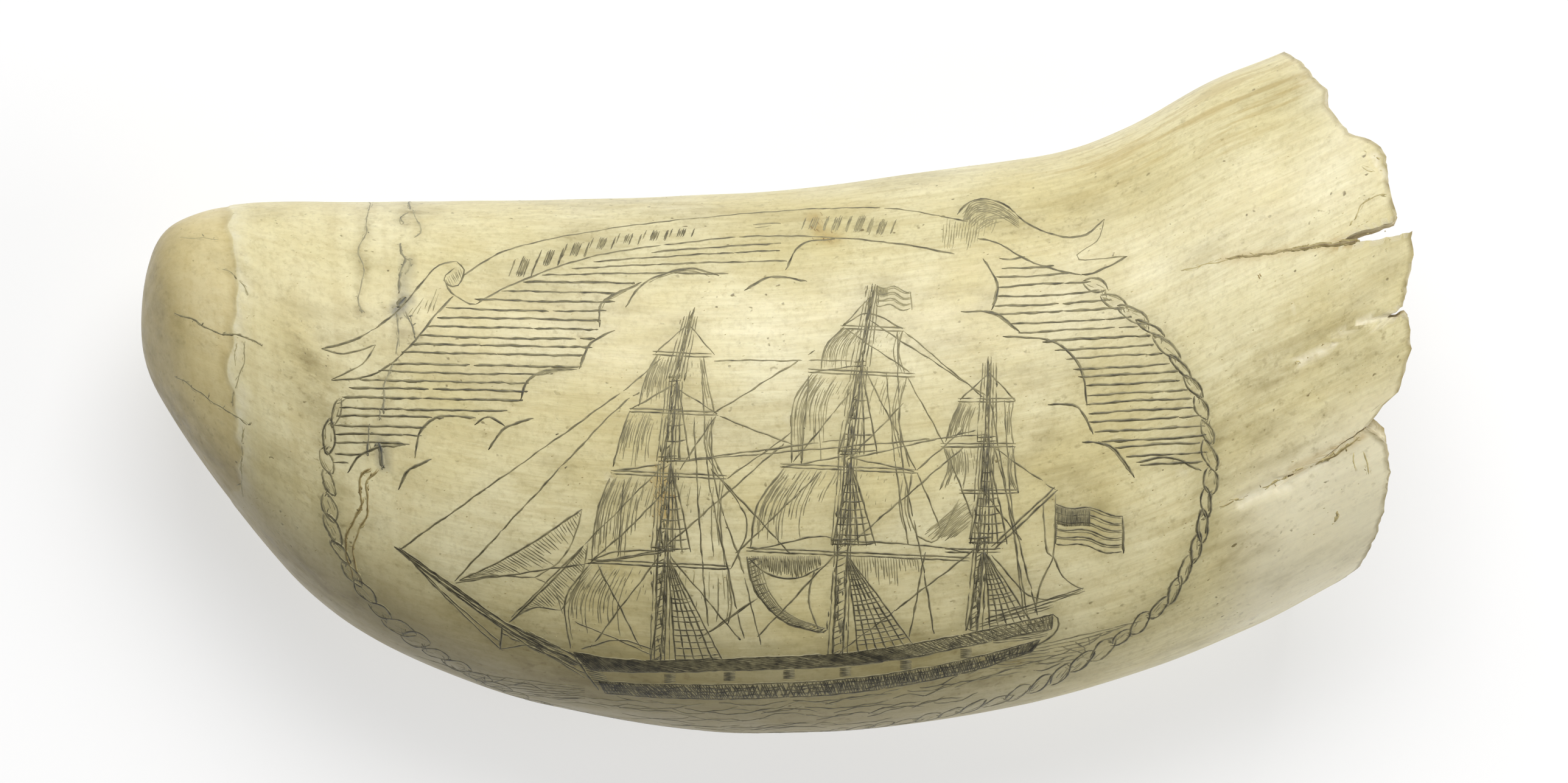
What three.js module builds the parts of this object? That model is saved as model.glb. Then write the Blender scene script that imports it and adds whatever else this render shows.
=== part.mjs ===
// A sperm whale's tooth, lying on its side: a solid, blunt tip at -X, and at +X the open root, whose thin wall
// is broken and split around a conical pulp cavity. Millimetres, +Z up, +X along the tooth, +Y towards its
// concave edge. The origin is under the middle of its box, on the plane that it lies on.
import * as THREE from "three";

// ---- Driving dimensions ----

// The outline in plan, [x, y], from the root's concave corner, round the tip, to the root's convex corner.
// Both ends run past the root's broken edge.
const OUTLINE = [
  [79, 50.2], [66, 44.4], [57, 40.8], [46, 34.8], [36, 31.3], [20, 29], [0, 26.5], [-25, 25.4], [-52, 25.1],
  [-68, 24.9], [-75.5, 23.6], [-80.3, 20], [-82.3, 11.5], [-81.6, 3.5], [-78, -3.6], [-70.6, -14.1],
  [-60, -26.2], [-48, -34], [-30, -40.4], [-5, -44.2], [20, -42.8], [43, -37.8], [62, -30.6], [75, -23.8],
  [89, -16],
];
const TIP = [-82, 5.5]; // where the tooth's own axis leaves the tip

// A section is a rounded ellipse: its thickness over its width falls from tip to root.
const TIP_RATIO = 0.84;
const ROOT_RATIO = 0.65;
const RATIO_FALL = 1.9;
const SECTION_POWER = 2.2; // 2 is a plain ellipse, and more is squarer

// The underside is dressed flat by this much, so that the tooth lies still.
const REST_FLAT_DEPTH = 0.9;

// The pulp cavity, from CAVITY_START of the tooth's length to the root's edge.
const CAVITY_START = 0.5;
const CAVITY_POWER = 0.62; // under 1 gives the cone a round end
const WALL_AT_RIM = 1.9;

// The broken edge in plan, [y, x], of the upper wall and of the lower one, from the concave corner on.
const UPPER_RIM = [
  [47, 64], [44.4, 66.6], [43.2, 68.5], [41.3, 69.8], [39.4, 71.6], [37.4, 71.5], [35.6, 73], [33.6, 74.4],
  [33.1, 76.4], [32.6, 77.8], [30.8, 79.1], [27, 79.4], [23.2, 80.4], [21.9, 80], [21.3, 82.3], [17.6, 82.6],
  [12.8, 81.5], [10.9, 81.1], [9.9, 82], [6, 82.3], [2.3, 81.4], [0.2, 80.6], [-1.5, 78.7], [-4.6, 76.4],
  [-5.2, 77.7], [-6.4, 79.3], [-10, 79.8], [-14.8, 79.1], [-18.6, 78.1], [-22.4, 76.3], [-24.6, 73.5],
  [-27, 72],
];
const LOWER_RIM = [
  [47, 64], [44.4, 65.6], [41, 66.6], [36.5, 68.4], [33.5, 67.2], [27, 70.4], [20.5, 71.6], [14, 70.6],
  [8.5, 72.6], [3, 71], [-2.5, 73], [-9, 71.8], [-15.5, 73], [-20.5, 71.8], [-24.6, 72.6], [-27, 72],
];

// Splits that run in from the edge along the grain: where each starts, as a share of the length, its angle round
// the tooth there and at the edge, in degrees from the concave edge over the top, how wide it gapes at the edge,
// and how fast it closes.
const SPLITS = [
  { start: 0.86, startAngle: 70, rimAngle: 81.5, gap: 1.5, closing: 2.6 },
  { start: 0.92, startAngle: 96.5, rimAngle: 97, gap: 0.9, closing: 1.6 },
  { start: 0.86, startAngle: 119.5, rimAngle: 117.5, gap: 0.6, closing: 1 },
  { start: 0.88, startAngle: 262, rimAngle: 268, gap: 0.8, closing: 1.2 },
];

// How finely the solid is faceted.
const ROWS = 50;
const COLUMN_STEP_UPPER = 5; // degrees, over the top
const COLUMN_STEP_LOWER = 8; // degrees, underneath
const RIM_BLEND_START = 0.84; // rows run straight to here, then bend towards the broken edge

const IVORY = { color: 0xe0d7a9, roughness: 0.38, metalness: 0 };

// ---- The outline, halved at the tip ----

const outline = new THREE.SplineCurve(OUTLINE.map(([x, y]) => new THREE.Vector2(x, y)));
outline.arcLengthDivisions = 2000;

/** How far along the outline the tip lies, from 0 to 1, by length. */
function tipShare() {
  const tip = new THREE.Vector2(...TIP);
  const lengths = outline.getLengths();
  let nearest = 0;
  let least = Infinity;
  lengths.forEach((length, i) => {
    const gap = outline.getPoint(i / (lengths.length - 1)).distanceTo(tip);
    if (gap < least) {
      least = gap;
      nearest = length;
    }
  });
  return nearest / lengths.at(-1);
}
const TIP_SHARE = tipShare();

/** The two edges of the section at a share s of the length: the concave one and the convex one. */
function edgesAt(s) {
  return {
    concave: outline.getPointAt(TIP_SHARE * (1 - s)),
    convex: outline.getPointAt(Math.min(1, TIP_SHARE + s * (1 - TIP_SHARE))),
  };
}

/** The half width of the section at s, and its half thickness. */
function halfSizes(s) {
  const { concave, convex } = edgesAt(s);
  const width = concave.distanceTo(convex) / 2;
  const ratio = ROOT_RATIO + (TIP_RATIO - ROOT_RATIO) * (1 - s) ** RATIO_FALL;
  return { width, thickness: width * ratio };
}

/** A signed power, which keeps the sign of x. */
function signedPower(x, power) {
  return Math.sign(x) * Math.abs(x) ** power;
}

/** The point of the section at s, at an angle round it, drawn in from the surface to sizes of its own. */
function sectionPoint(s, angle, sizes = halfSizes(s)) {
  const { concave, convex } = edgesAt(s);
  const middle = concave.clone().add(convex).multiplyScalar(0.5);
  const across = concave.clone().sub(convex).normalize();
  const reach = signedPower(Math.cos(angle), 2 / SECTION_POWER) * sizes.width;
  const height = signedPower(Math.sin(angle), 2 / SECTION_POWER) * sizes.thickness;
  return new THREE.Vector3(middle.x + across.x * reach, middle.y + across.y * reach, height);
}

/** Half of the thickness at the thickest section, less what the flat takes off: how far below the axis it lies. */
function restDepth() {
  let most = 0;
  for (let s = 0; s <= 1; s += 0.01) most = Math.max(most, halfSizes(s).thickness);
  return most - REST_FLAT_DEPTH;
}
const REST_DEPTH = restDepth();

function outerPoint(s, angle) {
  const point = sectionPoint(s, angle);
  point.z = Math.max(point.z, -REST_DEPTH);
  return point;
}

/** The cavity's wall: a cone with a round end, that leaves WALL_AT_RIM of dentine at the edge. */
function innerPoint(s, angle) {
  const opening = Math.max(0, (s - CAVITY_START) / (1 - CAVITY_START)) ** CAVITY_POWER;
  const { width, thickness } = halfSizes(s);
  return sectionPoint(s, angle, {
    width: (width - WALL_AT_RIM) * opening,
    thickness: (thickness - WALL_AT_RIM) * opening,
  });
}

// ---- Columns round the tooth, and rows along it ----

const radians = THREE.MathUtils.degToRad;

/** Columns at even steps, with the one nearest each split taken to its two lips. */
function makeColumns() {
  const angles = [];
  for (let a = 0; a < 180; a += COLUMN_STEP_UPPER) angles.push(a);
  for (let a = 180; a < 360; a += COLUMN_STEP_LOWER) angles.push(a);
  const columns = angles.map((angle) => ({ angle, lip: 0, split: null }));
  for (const split of SPLITS) {
    const nearest = columns.reduce((best, c) =>
      Math.abs(c.angle - split.rimAngle) < Math.abs(best.angle - split.rimAngle) ? c : best);
    const place = columns.indexOf(nearest);
    const lips = [-1, 1].map((lip) => ({ angle: nearest.angle, lip, split }));
    columns.splice(place, 1, ...lips);
  }
  return columns;
}
const columns = makeColumns();

/** A split's own angle at s, in degrees. */
function splitAngle(split, s) {
  const along = THREE.MathUtils.smoothstep(s, split.start, 1);
  return split.startAngle + (split.rimAngle - split.startAngle) * along;
}

/** Half of the gap at s, as an angle in degrees. */
function halfGap(split, s) {
  const along = THREE.MathUtils.clamp((s - split.start) / (1 - split.start), 0, 1);
  const gap = split.gap * along ** split.closing;
  return THREE.MathUtils.radToDeg(gap / 2 / halfSizes(s).width);
}

// Each split pulls the columns beside it along, between these fixed angles.
const knots = [0, ...SPLITS.map((split) => split), 360];

/** The angle of a column at s, in radians, bent so that the grain follows the splits. */
function columnAngle(column, s) {
  if (column.lip) return radians(splitAngle(column.split, s) + column.lip * halfGap(column.split, s));
  const before = knots.filter((k) => knotColumn(k) <= column.angle).at(-1);
  const after = knots.find((k) => knotColumn(k) > column.angle);
  const share = (column.angle - knotColumn(before)) / (knotColumn(after) - knotColumn(before));
  return radians(THREE.MathUtils.lerp(knotAngle(before, s), knotAngle(after, s), share));
}

function knotColumn(knot) {
  return typeof knot === "number" ? knot : columns.find((c) => c.split === knot).angle;
}

function knotAngle(knot, s) {
  return typeof knot === "number" ? knot : splitAngle(knot, s);
}

/** The broken edge's x at y, by straight lines between its points, and level past its ends. */
function rimX(rim, y) {
  const next = rim.findIndex(([pointY]) => pointY <= y);
  if (next < 1) return rim.at(next)[1];
  const [y0, x0] = rim[next - 1];
  const [y1, x1] = rim[next];
  return x0 + ((x1 - x0) * (y0 - y)) / (y0 - y1);
}

/** The share of the length at which a column meets the broken edge, found by halving. */
function rimShare(column) {
  const rim = column.angle <= 180 ? UPPER_RIM : LOWER_RIM;
  let low = RIM_BLEND_START;
  let high = 1;
  for (let i = 0; i < 40; i += 1) {
    const s = (low + high) / 2;
    const point = outerPoint(s, columnAngle(column, s));
    if (point.x < rimX(rim, point.y)) low = s;
    else high = s;
  }
  return low;
}
columns.forEach((column) => {
  column.bend = column.split ? column.split.start : RIM_BLEND_START;
  column.rim = rimShare(column);
});

/** A row's share of the length on one column: even steps, drawn in to the broken edge past the column's bend. */
function shareAt(row, column) {
  const even = row / ROWS;
  if (even <= column.bend) return even;
  return column.bend + ((even - column.bend) * (column.rim - column.bend)) / (1 - column.bend);
}

// ---- The closed skin ----

/** The tooth's surface: outer skin, cavity, the lips of the splits and the broken edge, as one closed mesh. */
function toothGeometry() {
  const positions = [];
  const indices = [];
  const cavityRow = Math.round(CAVITY_START * ROWS);
  const known = new Map();

  // A vertex's number. A split's two lips are one column until it opens, and a pole is one vertex.
  const vertex = (skin, row, place) => {
    const poleRow = skin === "outer" ? 0 : cavityRow;
    let j = place % columns.length;
    const { lip, bend } = columns[j];
    if (lip === 1 && row / ROWS <= bend) j -= 1;
    if (row === poleRow) j = 0;
    const key = `${skin} ${row} ${j}`;
    if (!known.has(key)) {
      const s = shareAt(row, columns[j]);
      const angle = columnAngle(columns[j], s);
      const point = skin === "outer" ? outerPoint(s, angle) : innerPoint(s, angle);
      known.set(key, positions.length / 3);
      positions.push(point.x, point.y, point.z);
    }
    return known.get(key);
  };

  const triangle = (a, b, c) => {
    if (a !== b && b !== c && c !== a) indices.push(a, b, c);
  };
  const quad = (a, b, c, d) => {
    triangle(a, b, c);
    triangle(a, c, d);
  };

  columns.forEach((column, j) => {
    const opensHere = column.lip === -1;
    for (let row = 0; row < ROWS; row += 1) {
      const outer = [[row, j], [row, j + 1], [row + 1, j + 1], [row + 1, j]].map(([r, c]) => vertex("outer", r, c));
      if (!opensHere) quad(...outer);
      if (row < cavityRow) continue;
      const inner = [[row, j], [row + 1, j], [row + 1, j + 1], [row, j + 1]].map(([r, c]) => vertex("inner", r, c));
      if (!opensHere) quad(...inner);
      else if ((row + 1) / ROWS > column.bend) {
        quad(outer[0], inner[0], inner[1], outer[3]);
        quad(outer[1], outer[2], inner[2], inner[3]);
      }
    }
    if (!opensHere) quad(vertex("outer", ROWS, j), vertex("outer", ROWS, j + 1), vertex("inner", ROWS, j + 1), vertex("inner", ROWS, j));
  });

  const geometry = new THREE.BufferGeometry();
  geometry.setAttribute("position", new THREE.Float32BufferAttribute(positions, 3));
  geometry.setIndex(indices);
  geometry.computeBoundingBox();
  const { min, max } = geometry.boundingBox;
  geometry.translate(-(min.x + max.x) / 2, -(min.y + max.y) / 2, REST_DEPTH);
  geometry.computeVertexNormals();
  return geometry;
}

const tooth = new THREE.Mesh(toothGeometry(), new THREE.MeshStandardMaterial(IVORY));
tooth.name = "tooth";

const scrimshawTooth = new THREE.Group();
scrimshawTooth.add(tooth);

export default scrimshawTooth;
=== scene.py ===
"""A sperm whale's tooth lying on a pale floor, its upper side engraved with a ship and inked.

Lengths are in mm until the last step. The plan is the tooth seen from above: x runs from the tip to the root, and
y towards the concave edge. Angles go round the tooth from the concave edge, over the top, to the convex edge at 180.
"""
import math

import bmesh
import bpy
import numpy as np
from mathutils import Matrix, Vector


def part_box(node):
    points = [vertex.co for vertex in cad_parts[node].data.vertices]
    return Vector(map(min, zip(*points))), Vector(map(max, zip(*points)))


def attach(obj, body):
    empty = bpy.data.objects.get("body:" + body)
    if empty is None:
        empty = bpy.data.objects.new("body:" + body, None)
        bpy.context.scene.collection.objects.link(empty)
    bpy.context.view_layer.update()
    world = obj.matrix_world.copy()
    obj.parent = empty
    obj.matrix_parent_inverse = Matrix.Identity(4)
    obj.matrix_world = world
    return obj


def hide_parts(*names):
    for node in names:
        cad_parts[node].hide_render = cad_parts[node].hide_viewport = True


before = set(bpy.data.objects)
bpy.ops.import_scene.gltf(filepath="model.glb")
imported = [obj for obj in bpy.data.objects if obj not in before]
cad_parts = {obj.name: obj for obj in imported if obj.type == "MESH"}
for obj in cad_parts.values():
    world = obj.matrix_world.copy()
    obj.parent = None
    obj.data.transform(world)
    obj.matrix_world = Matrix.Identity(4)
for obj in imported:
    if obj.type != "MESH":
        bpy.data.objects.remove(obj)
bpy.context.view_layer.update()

MM = 0.001

# ---- The tooth's form ----

# The outline in plan, from the root's concave corner, round the tip, to its convex corner.
OUTLINE = [
    (79, 50.2), (66, 44.4), (57, 40.8), (46, 34.8), (36, 31.3), (20, 29), (0, 26.5), (-25, 25.4), (-52, 25.1),
    (-68, 24.9), (-75.5, 23.6), (-80.3, 20), (-82.3, 11.5), (-81.6, 3.5), (-78, -3.6), (-70.6, -14.1),
    (-60, -26.2), (-48, -34), (-30, -40.4), (-5, -44.2), (20, -42.8), (43, -37.8), (62, -30.6), (75, -23.8),
    (89, -16),
]
TIP = (-82, 5.5)
TIP_RATIO, ROOT_RATIO, RATIO_FALL = 0.84, 0.65, 1.9  # thickness over width, from tip to root
SECTION_POWER = 2.2
REST_FLAT_DEPTH = 0.9
LENGTH = 190  # round the curve, from tip to edge
EDGE_RADIUS = 34  # turns a gap at the edge into an angle

CAVITY_START, CAVITY_POWER, WALL_AT_RIM = 0.5, 0.62, 1.9

# The broken edge in plan, (y, x), of the upper wall and of the lower one.
UPPER_RIM = [
    (47, 64), (44.4, 66.6), (43.2, 68.5), (41.3, 69.8), (39.4, 71.6), (37.4, 71.5), (35.6, 73), (33.6, 74.4),
    (33.1, 76.4), (32.6, 77.8), (30.8, 79.1), (27, 79.4), (23.2, 80.4), (21.9, 80), (21.3, 82.3), (17.6, 82.6),
    (12.8, 81.5), (10.9, 81.1), (9.9, 82), (6, 82.3), (2.3, 81.4), (0.2, 80.6), (-1.5, 78.7), (-4.6, 76.4),
    (-5.2, 77.7), (-6.4, 79.3), (-10, 79.8), (-14.8, 79.1), (-18.6, 78.1), (-22.4, 76.3), (-24.6, 73.5), (-27, 72),
]
LOWER_RIM = [
    (47, 64), (44.4, 65.6), (41, 66.6), (36.5, 68.4), (33.5, 67.2), (27, 70.4), (20.5, 71.6), (14, 70.6),
    (8.5, 72.6), (3, 71), (-2.5, 73), (-9, 71.8), (-15.5, 73), (-20.5, 71.8), (-24.6, 72.6), (-27, 72),
]
RIM_BLEND_START = 0.84

# Splits that run in from the edge: their start and the edge as shares of the length, the angles there, the gap at
# the edge, and the power by which it closes.
SPLITS = [
    (0.945, 0.99, 79.4, 82, 1.8, 0.28), (0.968, 0.978, 96.4, 96.6, 0.75, 0.5),
    (0.9, 0.942, 119.4, 117.2, 0.3, 0.8), (0.88, 0.95, 262, 265, 0.7, 1.2),
]

# The cap of bare dentine at the tip ends in a low wavy step.
DENTINE_END, DENTINE_STEP = -69.8, 0.2

# Flakes lost beside the splits: a path in plan, and the half width of what is gone.
FLAKES = [([(60.6, -14.1), (63.6, -12.6), (67.2, -11.1)], 0.72), ([(68.3, 4.2), (70.6, 5.5), (74, 7.8)], 0.5),
          ([(75.4, 8.9), (79.8, 10.1)], 0.42), ([(67.2, -11), (71.8, -9)], 0.36), ([(77.4, 31), (78.6, 28.6)], 0.5)]
FLAKE_DEPTH = 0.22

# The grid's rows as shares of the length: closer at the cap's step and towards the broken edge.
COLUMNS = 264
OUTER_ROWS = np.r_[np.linspace(0, 0.07, 12), np.linspace(0.07, 0.18, 52)[1:],
                   np.linspace(0.18, RIM_BLEND_START, 124)[1:], np.linspace(RIM_BLEND_START, 1, 60)[1:]]
INNER_ROWS = np.r_[np.linspace(CAVITY_START, RIM_BLEND_START, 22), OUTER_ROWS[-59:]]


def smooth(x, low, high):
    """0 below low, 1 above high, and between them an s-shaped rise, 3t2 - 2t3."""
    t = np.clip((x - low) / (high - low), 0, 1)
    return t * t * (3 - 2 * t)


def spline(points, u):
    """A smooth curve at u from 0 to 1: each span is a cubic whose slope at an end is half the step across that
    end."""
    points = np.asarray(points, float)
    spans = len(points) - 1
    place = np.clip(u, 0, 1) * spans
    first = np.minimum(place.astype(int), spans - 1)
    w = (place - first)[..., None]
    a, b = points[first], points[first + 1]
    leaving = (b - points[np.maximum(first - 1, 0)]) / 2
    entering = (points[np.minimum(first + 2, spans)] - a) / 2
    cubed, squared = 2 * a - 2 * b + leaving + entering, 3 * b - 3 * a - 2 * leaving - entering
    return cubed * w**3 + squared * w**2 + leaving * w + a


def read_off(points, at, by=0):
    """The other coordinate of a line of points where its coordinate by, which only rises or only falls, is at."""
    points = np.asarray(points, float)
    if points[0, by] > points[-1, by]:
        points = points[::-1]
    return np.interp(at, points[:, by], points[:, 1 - by])


def ripple(t, length, seed):
    """Noise along a line, about -1 to 1: a sine of this length and two of its shorter fractions, at random phases."""
    phase = np.random.default_rng(seed).uniform(0, 2 * np.pi, 3)
    wave = 2 * np.pi * np.asarray(t, float) / length
    waves = np.sin(wave + phase[0]) + 0.6 * np.sin(2.1 * wave + phase[1]) + 0.4 * np.sin(4.3 * wave + phase[2])
    return waves / 1.7


def mottle(place, size, seed):
    """Noise over a plane or a space, about -1 to 1: seven sine waves of about this size, in random directions."""
    rng = np.random.default_rng(seed)
    waves = rng.normal(size=(7, place.shape[-1]))
    waves *= 2 * np.pi / (np.linalg.norm(waves, axis=1) * size * rng.uniform(0.6, 1.6, 7))[:, None]
    return np.sin(place @ waves.T + rng.uniform(0, 2 * np.pi, 7)).sum(-1) / 3


def near(place, path, width):
    """1 on a path in plan, falling off as a bell of this half width: exp of minus the squared distance over width."""
    xy = place[..., None, :2]
    a, b = np.asarray(path[:-1], float), np.asarray(path[1:], float)
    share = np.clip(((xy - a) * (b - a)).sum(-1) / ((b - a) ** 2).sum(-1), 0, 1)
    gap = np.linalg.norm(xy - a - share[..., None] * (b - a), axis=-1).min(-1)
    return np.exp(-((gap / width) ** 2))


_u = np.linspace(0, 1, 6001)
_walk = spline(OUTLINE, _u)
_length = np.r_[0, np.cumsum(np.linalg.norm(np.diff(_walk, axis=0), axis=1))]
TIP_LENGTH = _length[np.argmin(np.linalg.norm(_walk - TIP, axis=1))]


def outline_at(length):
    """The outline's point at a length along it, from the concave corner."""
    return spline(OUTLINE, np.interp(length, _length, _u))


def section(s, angle, inset=0.0, opening=1.0):
    """The point at a share s of the length and an angle round it: a rounded ellipse across the two edges at s, whose
    half width and half thickness are let in by inset and then shrunk to opening."""
    concave = outline_at(TIP_LENGTH * (1 - s))
    convex = outline_at(TIP_LENGTH + s * (_length[-1] - TIP_LENGTH))
    half = (concave - convex) / 2
    width = np.maximum(np.linalg.norm(half, axis=-1), 1e-9)
    thickness = width * (ROOT_RATIO + (TIP_RATIO - ROOT_RATIO) * (1 - s) ** RATIO_FALL)
    power = 2 / SECTION_POWER
    let_in = np.minimum(inset, width)
    reach = np.sign(np.cos(angle)) * np.abs(np.cos(angle)) ** power * (width - let_in) * opening
    rise = np.sign(np.sin(angle)) * np.abs(np.sin(angle)) ** power
    height = rise * np.maximum(thickness - let_in, 0) * opening
    across = half / width[..., None]
    return np.concatenate([(concave + convex) / 2 + across * reach[..., None], height[..., None]], axis=-1)


def straightened(s, angle):
    """Where a point would be if the tooth were unbent: its share of the length, how far it is from the middle line
    towards the concave edge, and its height. The grain runs along the first of these."""
    s, angle = np.broadcast_arrays(s, angle)
    place = section(s, angle)
    middle = (section(s, np.zeros_like(s)) + section(s, np.full(s.shape, np.pi)))[..., :2] / 2
    across = np.linalg.norm(place[..., :2] - middle, axis=-1) * np.sign(np.cos(angle))
    return np.stack([LENGTH * s, across, place[..., 2]], axis=-1)


def past_cap(s, angle):
    """How far a point is past the wavy end of the bare cap at the tip, in mm."""
    place = section(s, angle)
    around = place[..., 1:]
    return place[..., 0] - DENTINE_END - mottle(around, 17, 3) - 0.35 * mottle(around, 4.5, 4)


def flaked(place, angle):
    """How deep the lost flakes are, 0 to 1, on the upper side only."""
    upper = (np.sin(angle) > 0) * 1.0
    ragged = 0.16 * mottle(place, 1.3, 14) + 0.1 * mottle(place, 3, 15)
    return upper * np.max([smooth(near(place, path, width) + ragged, 0.25, 0.6) for path, width in FLAKES], axis=0)


REST_DEPTH = section(np.linspace(0, 1, 400), np.full(400, np.pi / 2))[:, 2].max() - REST_FLAT_DEPTH


def skin(s, angle):
    """The outer surface: the section, let in by the step at the cap, the lost flakes and a slight unevenness."""
    bar = straightened(s, angle)
    s, angle = np.broadcast_arrays(s, angle)
    lost = FLAKE_DEPTH * flaked(section(s, angle), angle)
    inset = DENTINE_STEP * (1 - smooth(past_cap(s, angle), -0.3, 0.2)) + lost
    inset = inset + 0.06 * mottle(bar, 14, 5) + 0.012 * mottle(bar * (0.2, 1, 1), 2.2, 6)
    place = section(s, angle, np.maximum(inset + 0.06, 0))
    place[..., 2] = np.maximum(place[..., 2], -REST_DEPTH)
    return place


def lining(s, angle):
    """The pulp cavity's wall: the section shrunk as a cone with a round end, with faint growth rings."""
    s, angle = np.broadcast_arrays(s, angle)
    opening = np.clip((s - CAVITY_START) / (1 - CAVITY_START), 0, 1) ** CAVITY_POWER
    rings = 0.12 * ripple(LENGTH * s, 5, 7) * smooth(s, 0.55, 0.7) * (1 - smooth(s, 0.9, 0.97))
    return section(s, angle, WALL_AT_RIM + rings, opening)


# ---- Columns, splits and the broken edge ----


def split_centre(split, s):
    """A split's angle in radians at s: eased from its start to the edge, with the small zigzag of a crack."""
    start, edge, start_angle, edge_angle, _, _ = split
    along = smooth(s, start, edge)
    zigzag = 0.35 * along * ripple(LENGTH * s, 5.5, int(start_angle))
    return np.radians(start_angle + (edge_angle - start_angle) * along + zigzag)


def split_half_gap(split, s):
    """Half the gap at s, as an angle in radians: the gap at the edge, closing as a power of the way to the start."""
    start, edge, _, _, gap, closing = split
    return gap * np.clip((s - start) / (edge - start), 0, 1.2) ** closing / 2 / EDGE_RADIUS


def make_columns():
    """The columns' even places in degrees, with a split's column doubled into two lips, -1 and 1, and its owner."""
    place = np.linspace(0, 360, COLUMNS + 1)
    lip, owner = np.zeros(COLUMNS + 1, int), np.full(COLUMNS + 1, -1)
    for k, split in enumerate(SPLITS):
        c = np.abs(place - split[3]).argmin()
        place, lip, owner = (np.insert(v, c, v[c]) for v in (place, lip, owner))
        lip[c : c + 2], owner[c : c + 2] = (-1, 1), k
    return place, lip, owner


PLACE, LIP, OWNER = make_columns()


def column_angle(s):
    """The angle of every column at its own s: even between the lips of one split and those of the next."""
    angle = np.empty(np.broadcast_shapes(s.shape, PLACE.shape))
    s = np.broadcast_to(s, angle.shape)
    bounds = [0, *np.flatnonzero(LIP), len(PLACE) - 1]
    for first, last in zip(bounds[::2], bounds[1::2]):
        part = slice(first, last + 1)
        low, high = 0.0, 2 * np.pi
        if LIP[first]:
            split = SPLITS[OWNER[first]]
            low = split_centre(split, s[..., part]) + split_half_gap(split, s[..., part])
        if LIP[last]:
            split = SPLITS[OWNER[last]]
            high = split_centre(split, s[..., part]) - split_half_gap(split, s[..., part])
        share = (PLACE[part] - PLACE[first]) / (PLACE[last] - PLACE[first])
        angle[..., part] = low + (high - low) * share
    return angle


def rim_x(y, upper):
    """The broken edge's x at y: straight lines between its points, chipped by 0.2 mm at most."""
    rims = [read_off(rim, y) for rim in (UPPER_RIM, LOWER_RIM)]
    return np.where(upper, *rims) + 0.13 * ripple(y, 2.6, 11) + 0.06 * ripple(y, 1.1, 12)


def rim_shares():
    """Each column's share of the length at the broken edge, by halving."""
    low, high = np.full(len(PLACE), RIM_BLEND_START), np.ones(len(PLACE))
    for _ in range(30):
        s = (low + high) / 2
        place = skin(s, column_angle(s))
        short = place[:, 0] < rim_x(place[:, 1], PLACE <= 180)
        low, high = np.where(short, s, low), np.where(short, high, s)
    low[-1] = low[0]
    return low


BEND = np.where(LIP != 0, np.array([s[0] for s in SPLITS] + [0])[OWNER], RIM_BLEND_START)
RIM = rim_shares()


def shares(rows):
    """The share of the length of each row on each column: even up to the bend, then drawn in to the broken edge."""
    even = rows[:, None]
    return np.where(even <= BEND, even, BEND + (even - BEND) * (RIM - BEND) / (1 - BEND))


# ---- From the plan to the surface ----

OWN_BOX = skin(np.linspace(0, 1, 300)[:, None], np.linspace(0, 2 * np.pi, 400)).reshape(-1, 3)
OWN_BOX = OWN_BOX[OWN_BOX[:, 0] < rim_x(OWN_BOX[:, 1], OWN_BOX[:, 2] > 0)]
CAD_LOW, CAD_HIGH = (np.array(corner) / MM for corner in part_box("tooth"))
SHIFT = (CAD_LOW + CAD_HIGH) / 2 - (OWN_BOX.min(0) + OWN_BOX.max(0)) / 2
SHIFT[2] = REST_DEPTH

# The picture's own plane. Its x is the tooth's, and its y is the plan's where the surface faces up. Past that it
# goes on down both sides, at this many mm of y for each mm of surface.
SIDE_PACE = 0.45
SHEET_GRID = 0.3
SHEET_X = np.arange(-83.5, 84, SHEET_GRID)
SHEET_Y = np.arange(-66, 44, SHEET_GRID)


def lay_sheet():
    """The surface point under each point of the picture's plane, and the normal there. For each x the surface is cut
    across, and y is added up along the cut: the step in plan, or SIDE_PACE of the cut's length if that is more."""
    angles = np.radians(np.arange(245.0, -66, -1))
    over = skin(np.linspace(0, 1, 800)[:, None], angles)
    columns = over.transpose(1, 0, 2)
    cut = np.array([[np.interp(SHEET_X, column[:, 0], column[:, k]) for k in (1, 2)] for column in columns])
    step = np.diff(cut, axis=0)
    pace = np.maximum(step[:, 0], SIDE_PACE * np.hypot(step[:, 0], step[:, 1]))
    y = np.concatenate([np.zeros((1, len(SHEET_X))), np.cumsum(pace, axis=0)])
    top = np.abs(angles - np.pi / 2).argmin()
    y += cut[top, 0] - y[top]
    rows = [[np.interp(SHEET_Y, y[:, i], cut[:, k, i]) for k in (0, 1)] for i in range(len(SHEET_X))]
    x = np.broadcast_to(SHEET_X[:, None, None], (len(SHEET_X), len(SHEET_Y), 1))
    place = np.concatenate([x, np.array(rows).transpose(0, 2, 1)], axis=-1)
    normal = np.cross(np.gradient(place, axis=0), np.gradient(place, axis=1))
    return place, normal / np.maximum(np.linalg.norm(normal, axis=-1, keepdims=True), 1e-9)


SHEET, SHEET_NORMAL = lay_sheet()


def on_tooth(xy):
    """The surface point and the normal under points of the picture, blended from the four nearest points laid out."""
    i = np.clip((xy[:, 0] - SHEET_X[0]) / SHEET_GRID, 0, len(SHEET_X) - 1.001)
    j = np.clip((xy[:, 1] - SHEET_Y[0]) / SHEET_GRID, 0, len(SHEET_Y) - 1.001)
    a, b = i.astype(int), j.astype(int)
    u, v = (i - a)[:, None], (j - b)[:, None]

    def blend(grid):
        low, high = (grid[a, c] * (1 - u) + grid[a + 1, c] * u for c in (b, b + 1))
        return low * (1 - v) + high * v

    normal = blend(SHEET_NORMAL)
    return blend(SHEET), normal / np.linalg.norm(normal, axis=1, keepdims=True)


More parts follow.
